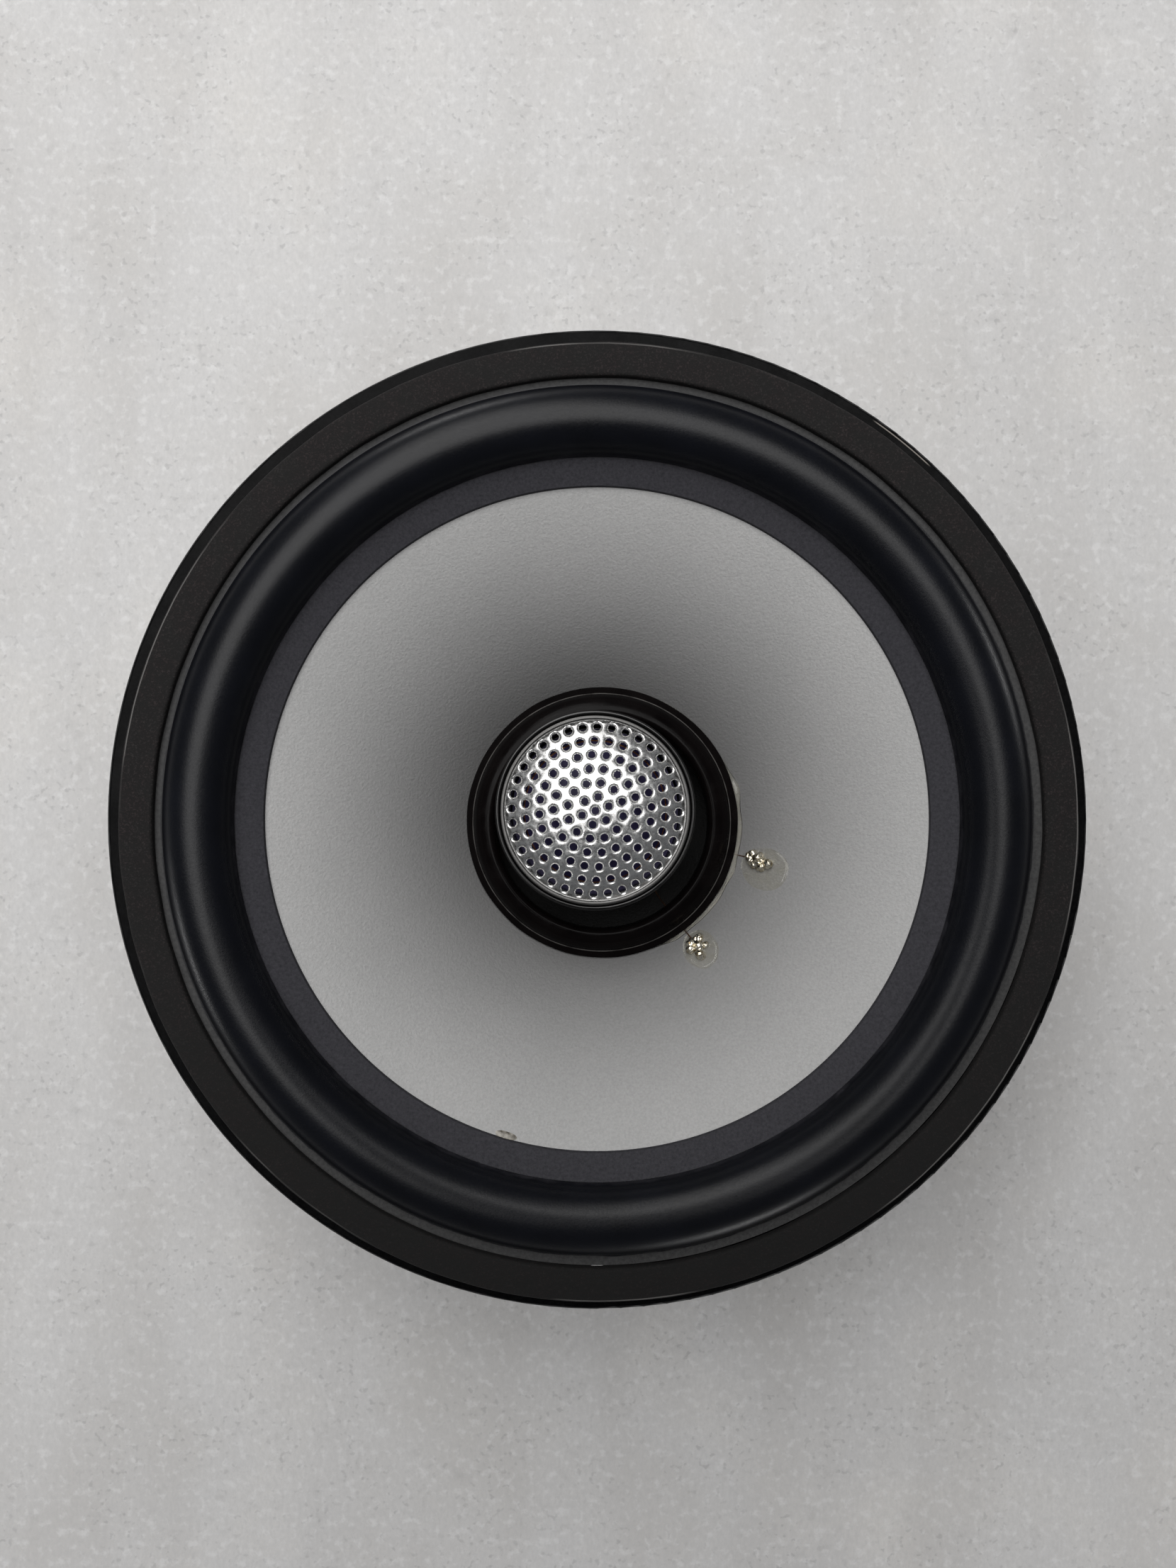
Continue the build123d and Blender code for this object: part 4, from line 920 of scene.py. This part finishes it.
def build_dust_ring():
    """The moulded ring round the cone's throat: foot, step, sloping wall and a lip rolled inward."""
    skin = 0.6
    foot_radius, _, top = sizes_of("dust_ring")
    foot = cone_height(foot_radius, GLUE_GAP)
    step = foot + 1.6
    crest = (20.9, top)
    lip = (19.5, crest[1] - 1.0)
    lip_end = lip[1] - 2.5
    bend_from = 22.9             # outside this radius the ring follows the cone
    bend_full = 2.0              # and fully so this far beyond it

    outline = [(foot_radius, foot - 0.6)]
    foot_via = (foot_radius - 0.05, foot + skin - 0.05)
    outline += arc((foot_radius, foot + skin - 0.25), foot_via, (foot_radius - 0.2, foot + skin + 0.1), 4)
    outline += [(24.35, foot + 1.05), (23.85, step - 0.22)]
    outline += arc((23.75, step - 0.12), (23.62, step - 0.02), (23.55, step + 0.16), 4)
    outline += arc((23.50, step + 0.32), (crest[0] + 1.1, crest[1] - 0.38), crest, 16)
    outline += arc(crest, (lip[0] + 0.3, crest[1] - 0.25), lip, 10)[1:]
    outline += [(lip[0], lip[1] - 1.0), (lip[0], lip_end), (lip[0] + skin, lip_end), (lip[0] + skin, lip[1])]
    outline += [(crest[0], crest[1] - 0.75), (22.7, step - skin), (24.4, foot - 0.4)]

    def wobble(point, radius, angle):
        """The foot follows the cone, and stands out a little where its glue was thick, on the right."""
        if radius > bend_from:
            share = min((radius - bend_from) / bend_full, 1.0)
            push_out(point, angle, share * (ring_bulge(angle) + 0.10 * round_noise(angle, 3, 1)))
            surface = cone_height(math.hypot(point.x, point.y), GLUE_GAP)
            point.z += (surface - cone_height(radius, GLUE_GAP)) * share
        return point

    turned("throat_ring", outline, CONE_BODY, ring_plastic(), "dust_ring", RING_CENTRE,
           FINE_ROUND, wobble)


def build_pod():
    """Tweeter housing: a deep cup with a turned-over rim and a seat for the grille, and its trim ring."""
    floor = 1.5
    slope = 4.7
    post_hole = 3.2
    flat = 11.5
    cup = 15.0
    crisp = 0.1
    rim, bottom, top = sizes_of("tweeter_housing")
    seat = top - 1.2
    wall = rim - 1.3
    outline = rounded([
        (post_hole, bottom, crisp), (flat, bottom, 1.0), (wall, bottom + slope, 1.5), (wall, top - 2.6, 0.4),
        (rim, top - 1.8, 0.35), (rim, top, 0.33), (16.78, top, 0.3), (16.7, seat, crisp), (cup, seat, crisp),
        (cup, bottom + floor, crisp), (post_hole, bottom + floor, crisp),
    ])
    shell = pod_plastic()
    turned("pod_shell", outline, ROOT, shell, "tweeter_housing", POD_CENTRE, FINE_ROUND)

    trim_inner = 15.85
    trim_bend = 0.28
    trim_outer, trim_low, trim_top = sizes_of("grille_clamp_ring")
    trim = rounded([
        (trim_inner, trim_low, 0.0), (trim_outer, trim_low, 0.0),
        (trim_outer, trim_top, trim_bend), (trim_inner, trim_top, trim_bend),
    ])
    turned("grille_trim", trim, ROOT, satin_trim(), "grille_clamp_ring", POD_CENTRE, FINE_ROUND)


def build_tweeter_dome():
    skin = 0.2
    edge, base, apex = sizes_of("tweeter_dome")
    sphere = dome_sphere(edge, apex - base)
    middle = edge * 0.55
    via = (middle, apex - sphere + math.sqrt(sphere ** 2 - middle ** 2))
    outline = arc((0.0, apex), via, (edge, base), 24)
    outline += [(radius, height - skin) for radius, height in reversed(outline)]
    silk = dome_silk()
    centre = centre_of("tweeter_dome")
    turned("tweeter_cap", outline, TWEETER_BODY, silk, "tweeter_dome", centre, SMALL_ROUND)


# ---- the grille ---------------------------------------------------------------------------------------
GRILLE_HOLE = 0.68               # radius
GRILLE_PITCH = 2.43
GRILLE_ROWS = 6
GRILLE_TURN = math.radians(78.7)
GRILLE_SKIN = 0.4
GRILLE_DOME = 15.7               # radius of the domed part, inside the flat brim
LIP_RINGS = [GRILLE_HOLE + out for out in (0.0, 0.07, 0.16, 0.27, 0.42)]
LIP_DEPTH = 0.34
LIP_SIDES = 20
LATTICE_STEP = 0.62              # between the points that fill the sheet round the holes
LATTICE_ROW = 0.866 * LATTICE_STEP


def grille_holes():
    """Hole centres: one in the middle, then rows of 6, 12, 18 and so on."""
    centres = [Vector((0.0, 0.0))]
    for row in range(1, GRILLE_ROWS + 1):
        for index in range(6 * row):
            centres.append(heading(GRILLE_TURN + math.tau * index / (6 * row)) * row * GRILLE_PITCH)
    return centres


def nearest_hole(point, centres):
    return min((point - centre).length for centre in centres)


def grille_plan(centres, brim_outer):
    """Flat points and edges of the grille: rings round each hole and the rim, and a lattice between them."""
    rim_rings = (15.3, 15.55, GRILLE_DOME, GRILLE_DOME + 0.15, brim_outer)
    points, edges = [], []

    def add_circle(centre, radius, count):
        first = len(points)
        for side in range(count):
            points.append(centre + heading(math.tau * side / count) * radius)
            edges.append((first + side, first + (side + 1) % count))

    for centre in centres:
        for radius in LIP_RINGS:
            add_circle(centre, radius, LIP_SIDES)
    for radius in rim_rings:
        add_circle(Vector((0.0, 0.0)), radius, SMALL_ROUND)
    steps = int(GRILLE_DOME / LATTICE_STEP) + 1
    for row in range(-steps, steps + 1):
        for column in range(-steps, steps + 1):
            point = Vector(((column + 0.5 * (row % 2)) * LATTICE_STEP, row * LATTICE_ROW))
            inside_rim = point.length <= rim_rings[0] - 0.3
            if inside_rim and nearest_hole(point, centres) > LIP_RINGS[-1] + 0.12:
                points.append(point)
    return points, edges


def build_grille():
    """Perforated dome: every hole is punched, so its lip rolls inward."""
    brim_outer, low, apex = sizes_of("tweeter_grille")
    brim_top = low + GRILLE_SKIN
    sphere = dome_sphere(GRILLE_DOME, apex - brim_top)
    centres = grille_holes()
    points, edges = grille_plan(centres, brim_outer)
    made = geometry.delaunay_2d_cdt(points, edges, [], 0, 1e-6)
    verts, faces = made[0], made[2]
    bm = bmesh.new()
    created = []
    for point in verts:
        height = brim_top
        if point.length <= GRILLE_DOME:
            height = apex - sphere + math.sqrt(sphere ** 2 - point.length ** 2)
        lip_width = LIP_RINGS[-1] - GRILLE_HOLE
        share = max(0.0, 1 - (nearest_hole(point, centres) - GRILLE_HOLE) / lip_width)
        height -= LIP_DEPTH * share ** 2
        place = Vector((point.x + POD_CENTRE[0], point.y + POD_CENTRE[1], height))
        created.append(bm.verts.new(place * MM))
    for face in faces:
        middle = (verts[face[0]] + verts[face[1]] + verts[face[2]]) / 3
        if nearest_hole(middle, centres) >= GRILLE_HOLE * 0.93:
            bm.faces.new([created[index] for index in face])
    bmesh.ops.delete(bm, geom=[v for v in bm.verts if not v.link_faces], context="VERTS")
    mesh = mesh_from("grille_dome", bm)
    if mesh.polygons[0].normal.z < 0:
        mesh.flip_normals()
    sheet = add_object("grille_dome", mesh)
    modifier = sheet.modifiers.new("skin", "SOLIDIFY")
    modifier.thickness = (GRILLE_SKIN - 0.08) * MM
    modifier.offset = -1.0
    finish_mesh("grille_dome", with_modifiers(sheet), ROOT, grille_metal(), "tweeter_grille",
                math.radians(50))


# ---- solder, glue and leads on the cone ---------------------------------------------------------------
JOINTS = (
    {"name": "a", "angle": -15.0, "radius": 30.5, "solder": 1.95, "glue": 3.9, "glue_aside": (1.05, -1.5),
     "wire": -0.2, "seed": 11},
    {"name": "b", "angle": -52.0, "radius": 30.0, "solder": 1.9, "glue": 3.2, "glue_aside": (0.5, -0.45),
     "wire": 0.13, "seed": 23},
)
LUMPS = 16
LUMP_SIZES = (0.52, 0.92)
LUMP_LIFTS = (0.25, 0.8)
LEAD_RADIUS = 0.12


def joint_place(joint, outward=0.0, sideways=0.0, lift=0.0):
    """A point over the cone near a joint, in mm."""
    radial = heading(math.radians(joint["angle"]))
    across = Vector((-radial.y, radial.x))
    flat = radial * (joint["radius"] + outward) + across * sideways
    return on_cone(flat.x, flat.y, lift)


def build_solder(joint, material, replaces):
    """A heap of small solder lumps melted together."""
    name = "solder_" + joint["name"]
    rng = random.Random(joint["seed"])
    bm = bmesh.new()
    for _ in range(LUMPS):
        spread = joint["solder"] * 0.85 * math.sqrt(rng.random())
        angle = rng.uniform(0, math.tau)
        size = rng.uniform(*LUMP_SIZES)
        lift = rng.uniform(*LUMP_LIFTS)
        centre = joint_place(joint, spread * math.cos(angle), spread * math.sin(angle), lift)
        move = Matrix.Translation(centre * MM)
        bmesh.ops.create_icosphere(bm, subdivisions=3, radius=size * MM, matrix=move)
    heap = add_object(name, mesh_from(name, bm))
    fuse = heap.modifiers.new("fuse", "REMESH")
    fuse.mode = "VOXEL"
    fuse.voxel_size = 0.11 * MM
    soften = heap.modifiers.new("soften", "SMOOTH")
    soften.iterations = 3
    mesh = with_modifiers(heap)
    for vertex in mesh.vertices:
        vertex.co += vertex.normal * noise.noise(vertex.co / MM * 2.2) * 0.14 * MM
    finish_mesh(name, mesh, CONE_BODY, material, replaces)


def draped_patch(name, reach, centre, thickness, material, node=None):
    """Glue lying on the cone: reach(angle) is its outline, thickness(share) its height on the way out."""
    rings = 14
    sides = 72
    under = 0.01                 # its faces clear the paper by this much and a little more
    over = 0.03
    bm = bmesh.new()
    tops, lows = [], []
    for ring in range(rings + 1):
        share = ring / rings
        top_row, low_row = [], []
        for side in range(sides):
            angle = math.tau * side / sides
            x = centre[0] + reach(angle) * share * math.cos(angle)
            y = centre[1] + reach(angle) * share * math.sin(angle)
            top_row.append(bm.verts.new(on_cone(x, y, over + thickness(share)) * MM))
            low_row.append(bm.verts.new(on_cone(x, y, under) * MM))
        tops.append(top_row)
        lows.append(low_row)
    for layer in (tops, lows):
        for row, following in zip(layer, layer[1:]):
            bridge(bm, row, following)
    bridge(bm, tops[-1], lows[-1])
    bmesh.ops.remove_doubles(bm, verts=bm.verts, dist=2e-6)
    piece = finish_mesh(name, mesh_from(name, bm), CONE_BODY, material, node)
    piece.visible_shadow = False
    piece.visible_diffuse = False


def build_glue_cap(joint, material, replaces):
    """A flat round drop of clear glue over the solder, thickest in a ridge near its edge."""
    solder = joint_place(joint)
    centre = (solder.x + joint["glue_aside"][0], solder.y + joint["glue_aside"][1])

    def reach(angle):
        return joint["glue"] * (1 + 0.07 * round_noise(angle, 1.3, joint["seed"]))

    def thickness(share):
        ridge = 0.10 * math.exp(-((share - 0.86) / 0.07) ** 2)
        return (0.22 + 0.10 * (1 - share) + ridge) * math.sqrt(1 - share ** 6)

    draped_patch("glue_cap_" + joint["name"], reach, centre, thickness, material, replaces)


def build_edge_glue(material):
    """A smear of glue that ran out from under the surround's band, at the bottom of the cone."""
    turn = math.radians(-106)
    radius = 56.2
    half_length = 2.1
    half_width = 0.6

    def reach(angle):
        along = angle - turn - math.pi / 2
        uneven = 1 + 0.35 * round_noise(angle, 2, 5)
        return uneven / math.hypot(math.cos(along) / half_length, math.sin(along) / half_width)

    def thickness(share):
        return 0.22 * (1 - share ** 3)

    draped_patch("edge_glue", reach, heading(turn) * radius, thickness, material)


def build_ring_glue(material):
    """Clear glue along the throat ring's foot, thick at the lower right and a thread elsewhere."""
    foot = outer_radius("dust_ring")
    lowest = 0.02
    thick_middle = 339           # degrees
    thick_half = 42
    rows = []
    bm = bmesh.new()
    for step in range(FINE_ROUND):
        angle = math.tau * step / FINE_ROUND
        offset = ((math.degrees(angle) - thick_middle + 180) % 360) - 180
        share = 1 / (1 + math.exp((abs(offset) - thick_half) / 2.5))
        lumps = round_noise(angle, 6, 4)
        width = 0.14 + share * (0.75 + 0.45 * lumps)
        height = 0.12 + share * (0.55 + 0.2 * lumps)
        inner = foot + ring_bulge(angle) - 0.10
        back = ((0.0, lowest), (0.0, height))
        slope = ((width * 0.35, height * 0.92), (width * 0.75, height * 0.5), (width, lowest))
        row = []
        for reach, lift in back + slope:
            flat = Vector(RING_CENTRE) + heading(angle) * (inner + reach)
            row.append(bm.verts.new(on_cone(flat.x, flat.y, lift) * MM))
        rows.append(row)
    for row, following in zip(rows, rows[1:] + rows[:1]):
        bridge(bm, row, following)
    mesh = mesh_from("ring_glue", bm)
    piece = finish_mesh("ring_glue", mesh, CONE_BODY, material, "ring_glue_bead")
    piece.visible_shadow = False


def build_lead(joint, material, replaces):
    """The coil's fine enamelled wire, from under the ring up to the solder."""
    name = "coil_lead_" + joint["name"]
    start = CONE_NECK[0] + 0.3
    end = joint["radius"] - joint["solder"] * 0.5
    steps = 40
    points = []
    for step in range(steps + 1):
        share = step / steps
        radius = start + (end - start) * share
        sideways = 0.7 * noise.noise(Vector((share * 3, joint["seed"], 0))) * math.sin(math.pi * share)
        lift = joint["wire"] + 0.7 * share ** 10
        points.append(joint_place(joint, radius - joint["radius"], sideways, lift))
    mesh = mesh_from(name, tube_mesh(points, LEAD_RADIUS))
    finish_mesh(name, mesh, CONE_BODY, material, replaces)


# ---- tinsel leads -------------------------------------------------------------------------------------
# their routes, from the terminal board's rivets, in a hanging curve, to the eyelets' backs
TINSEL_ROUTES = {
    "tinsel_lead_upper": (
        (50.0, -33.8, -17.5), (46.5, -30.2, -21.7), (40.3, -24.0, -27.0),
        (35.6, -16.7, -25.5), (31.6, -10.0, -21.1), (29.7, -8.2, -17.3),
    ),
    "tinsel_lead_lower": (
        (33.8, -50.0, -17.5), (30.2, -46.5, -21.7), (24.0, -40.3, -27.0),
        (20.8, -31.5, -25.5), (20.6, -25.8, -21.4), (18.8, -23.9, -17.6),
    ),
}
STRANDS = 3
STRAND_RADIUS = 0.33
STRAND_ASIDE = 0.32              # from the rope's middle
STRAND_TURN = 3.2                # length of rope in which a strand goes round once


def spline_points(route):
    """Points along the smooth curve that a route's points control."""
    data = bpy.data.curves.new("route", "CURVE")
    data.dimensions = "3D"
    data.resolution_u = 24
    spline = data.splines.new("NURBS")
    spline.points.add(len(route) - 1)
    for point, place in zip(spline.points, route):
        point.co = (*place, 1.0)
    spline.order_u = 3
    spline.use_endpoint_u = True
    curve = bpy.data.objects.new("route", data)
    mesh = bpy.data.meshes.new_from_object(curve)
    points = [vertex.co.copy() for vertex in mesh.vertices]
    bpy.data.objects.remove(curve)
    bpy.data.meshes.remove(mesh)
    return points


def twisted(points, phase):
    """A strand's line: it winds round the rope's points."""
    strand = []
    travelled = 0.0
    previous = points[0]
    for point, across, other in frames_along(points):
        travelled += (point - previous).length
        previous = point
        angle = phase + math.tau * travelled / STRAND_TURN
        strand.append(point + (across * math.cos(angle) + other * math.sin(angle)) * STRAND_ASIDE)
    return strand


def build_tinsel(node, material):
    """Three strands in a rope, fixed at the terminal board and carried by the cone at the eyelet."""
    line = spline_points(TINSEL_ROUTES[node])
    bm = bmesh.new()
    for number in range(STRANDS):
        strand = twisted(line, math.tau * number / STRANDS)
        mesh = mesh_from("strand", tube_mesh(strand, STRAND_RADIUS))
        bm.from_mesh(mesh)
        bpy.data.meshes.remove(mesh)
    name = node + "_rope"
    piece = finish_mesh(name, mesh_from(name, bm), None, material, node)
    flex_along(piece, ROOT, CONE_BODY, line)


# ---- staging ------------------------------------------------------------------------------------------
FLOOR_SIZE = 6.0                 # all of these in metres
FLAG_PLACE = (0.004, -0.045, 0.212)
FLAG_SIZE = (0.085, 0.150, 1.0)
CAMERA_PLACE = (-0.00153, 0.0060, 0.2040)
CAMERA_SENSOR = 36.0             # in mm, as the lens is
CAMERA_LENS = 27.67
LAMPS = (
    {"name": "ceiling", "place": (-0.14, 0.28, 1.0), "target": (-0.14, 0.28, 0), "size": 1.1, "watts": 12.0,
     "colour": (1.0, 0.99, 0.98)},
    {"name": "window", "place": (-0.25, 0.80, 0.72), "target": (0, 0, 0), "size": 0.55, "watts": 2.5,
     "colour": (1.0, 0.99, 0.975)},
)
STRIPS = 4
STRIP_WATTS = 0.035
STRIP_SPREAD = math.radians(24)  # narrow, so that it keeps off the floor
STRIP_DISTANCE = 0.8
STRIP_HEIGHT = -0.030
STRIP_SIZE = (0.7, 0.04)
STRIP_TURN = math.radians(20)
WORLD_COLOUR = (0.86, 0.88, 0.92, 1.0)
WORLD_STRENGTH = 0.12


def staged_plane(name, size, place, material):
    bpy.ops.mesh.primitive_plane_add(size=size, location=place)
    plane = bpy.context.object
    plane.name = name
    plane.data.materials.append(material)
    return plane


def build_flag():
    """A black card over the speaker that keeps the light off the middle of the cone, as the camera did."""
    card = Finish("flag_card")
    card.colour((0.01, 0.01, 0.01, 1.0))
    card.link(0.9, card.shader.inputs["Roughness"])
    flag = staged_plane("flag", 1.0, FLAG_PLACE, card.material)
    flag.scale = FLAG_SIZE
    flag.visible_camera = False


def area_light(name, place, target, size, watts, colour=(1.0, 1.0, 1.0)):
    data = bpy.data.lights.new(name, "AREA")
    data.shape = "DISK"
    data.size = size
    data.energy = watts
    data.color = colour
    lamp = add_object(name, data)
    lamp.location = place
    lamp.rotation_euler = (Vector(target) - Vector(place)).to_track_quat("-Z", "Y").to_euler()
    return lamp


def build_strip_light(number):
    """A long low light beside the speaker that reaches in under its flange and not over it."""
    angle = math.tau * number / STRIPS + STRIP_TURN
    place = (STRIP_DISTANCE * math.cos(angle), STRIP_DISTANCE * math.sin(angle), STRIP_HEIGHT)
    lamp = area_light("strip_%d" % number, place, (0, 0, STRIP_HEIGHT), STRIP_SIZE[0], STRIP_WATTS)
    lamp.data.shape = "RECTANGLE"
    lamp.data.size_y = STRIP_SIZE[1]
    lamp.data.spread = STRIP_SPREAD
    lamp.visible_camera = False


def build_lights():
    for lamp in LAMPS:
        area_light(**lamp)
    for number in range(STRIPS):
        build_strip_light(number)
    world = bpy.data.worlds.new("studio")
    bpy.context.scene.world = world
    world.use_nodes = True
    background = world.node_tree.nodes["Background"]
    background.inputs["Color"].default_value = WORLD_COLOUR
    background.inputs["Strength"].default_value = WORLD_STRENGTH


def build_camera():
    """Straight above the speaker, image up along +Y, a little up and left of its axis."""
    data = bpy.data.cameras.new("camera")
    data.sensor_width = CAMERA_SENSOR
    data.lens = CAMERA_LENS
    data.clip_start = 0.01
    data.clip_end = 20.0
    camera = add_object("camera", data)
    camera.location = CAMERA_PLACE
    bpy.context.scene.camera = camera


# ---- put it together ----------------------------------------------------------------------------------
def paint_cad_nodes():
    """Materials for the CAD nodes that stay."""
    finishes = (
        (black_enamel(), ["basket"]),
        (zinc_steel(), ["basket_rivets", "top_plate", "yoke", "post_washer", "post_nut"]),
        (zinc_steel("zinc_pot", POD_CENTRE), ["tweeter_pot", "tweeter_pole_plate"]),
        (ferrite(), ["ring_magnet"]),
        (satin_trim(), ["tweeter_magnet"]),
        (film_amber(), ["voice_coil_former", "tweeter_former"]),
        (wound_copper(), ["voice_coil_winding", "tweeter_winding"]),
        (turned_aluminium(), ["tweeter_post"]),
        (board_paper(), ["terminal_board"]),
        (tinned_brass(), ["terminal_rivets", "lead_eyelets", "capacitor_leads", "blade_positive",
                          "blade_negative"]),
        (capacitor_sleeve(), ["crossover_capacitor"]),
        (wire_sleeve(), ["tweeter_feed_wires"]),
        (pod_plastic(), ["tweeter_mounting_ring"]),
    )
    for material, nodes in finishes:
        for node in nodes:
            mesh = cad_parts[node].data
            mesh.materials.clear()
            mesh.materials.append(material)


def build_joints():
    """Solder, glue cap and lead of both joints; the first of each pair stands for the CAD node of both."""
    solder = solder_metal()
    glue = clear_glue("clear_glue", 1.36)
    enamel = lead_enamel()
    nodes = ("solder_joints", "glue_caps", "voice_coil_leads")
    for joint in JOINTS:
        build_solder(joint, solder, nodes[0])
        build_glue_cap(joint, glue, nodes[1])
        build_lead(joint, enamel, nodes[2])
        nodes = (None, None, None)


def build_looks():
    paint_cad_nodes()
    build_gasket()
    build_surround()
    build_cone()
    build_dust_ring()
    build_pod()
    build_grille()
    build_tweeter_dome()
    build_joints()
    build_ring_glue(clear_glue("ridge_glue", 1.42))
    build_edge_glue(dried_glue())
    build_spider()
    build_suspension()
    braid = tinsel_braid()
    for node in TINSEL_ROUTES:
        build_tinsel(node, braid)


build_camera()
build_looks()
staged_plane("floor", FLOOR_SIZE, (0, 0, cad_box[0].z), stone_floor())
build_lights()
build_flag()
bpy.context.scene.view_settings.view_transform = "Standard"
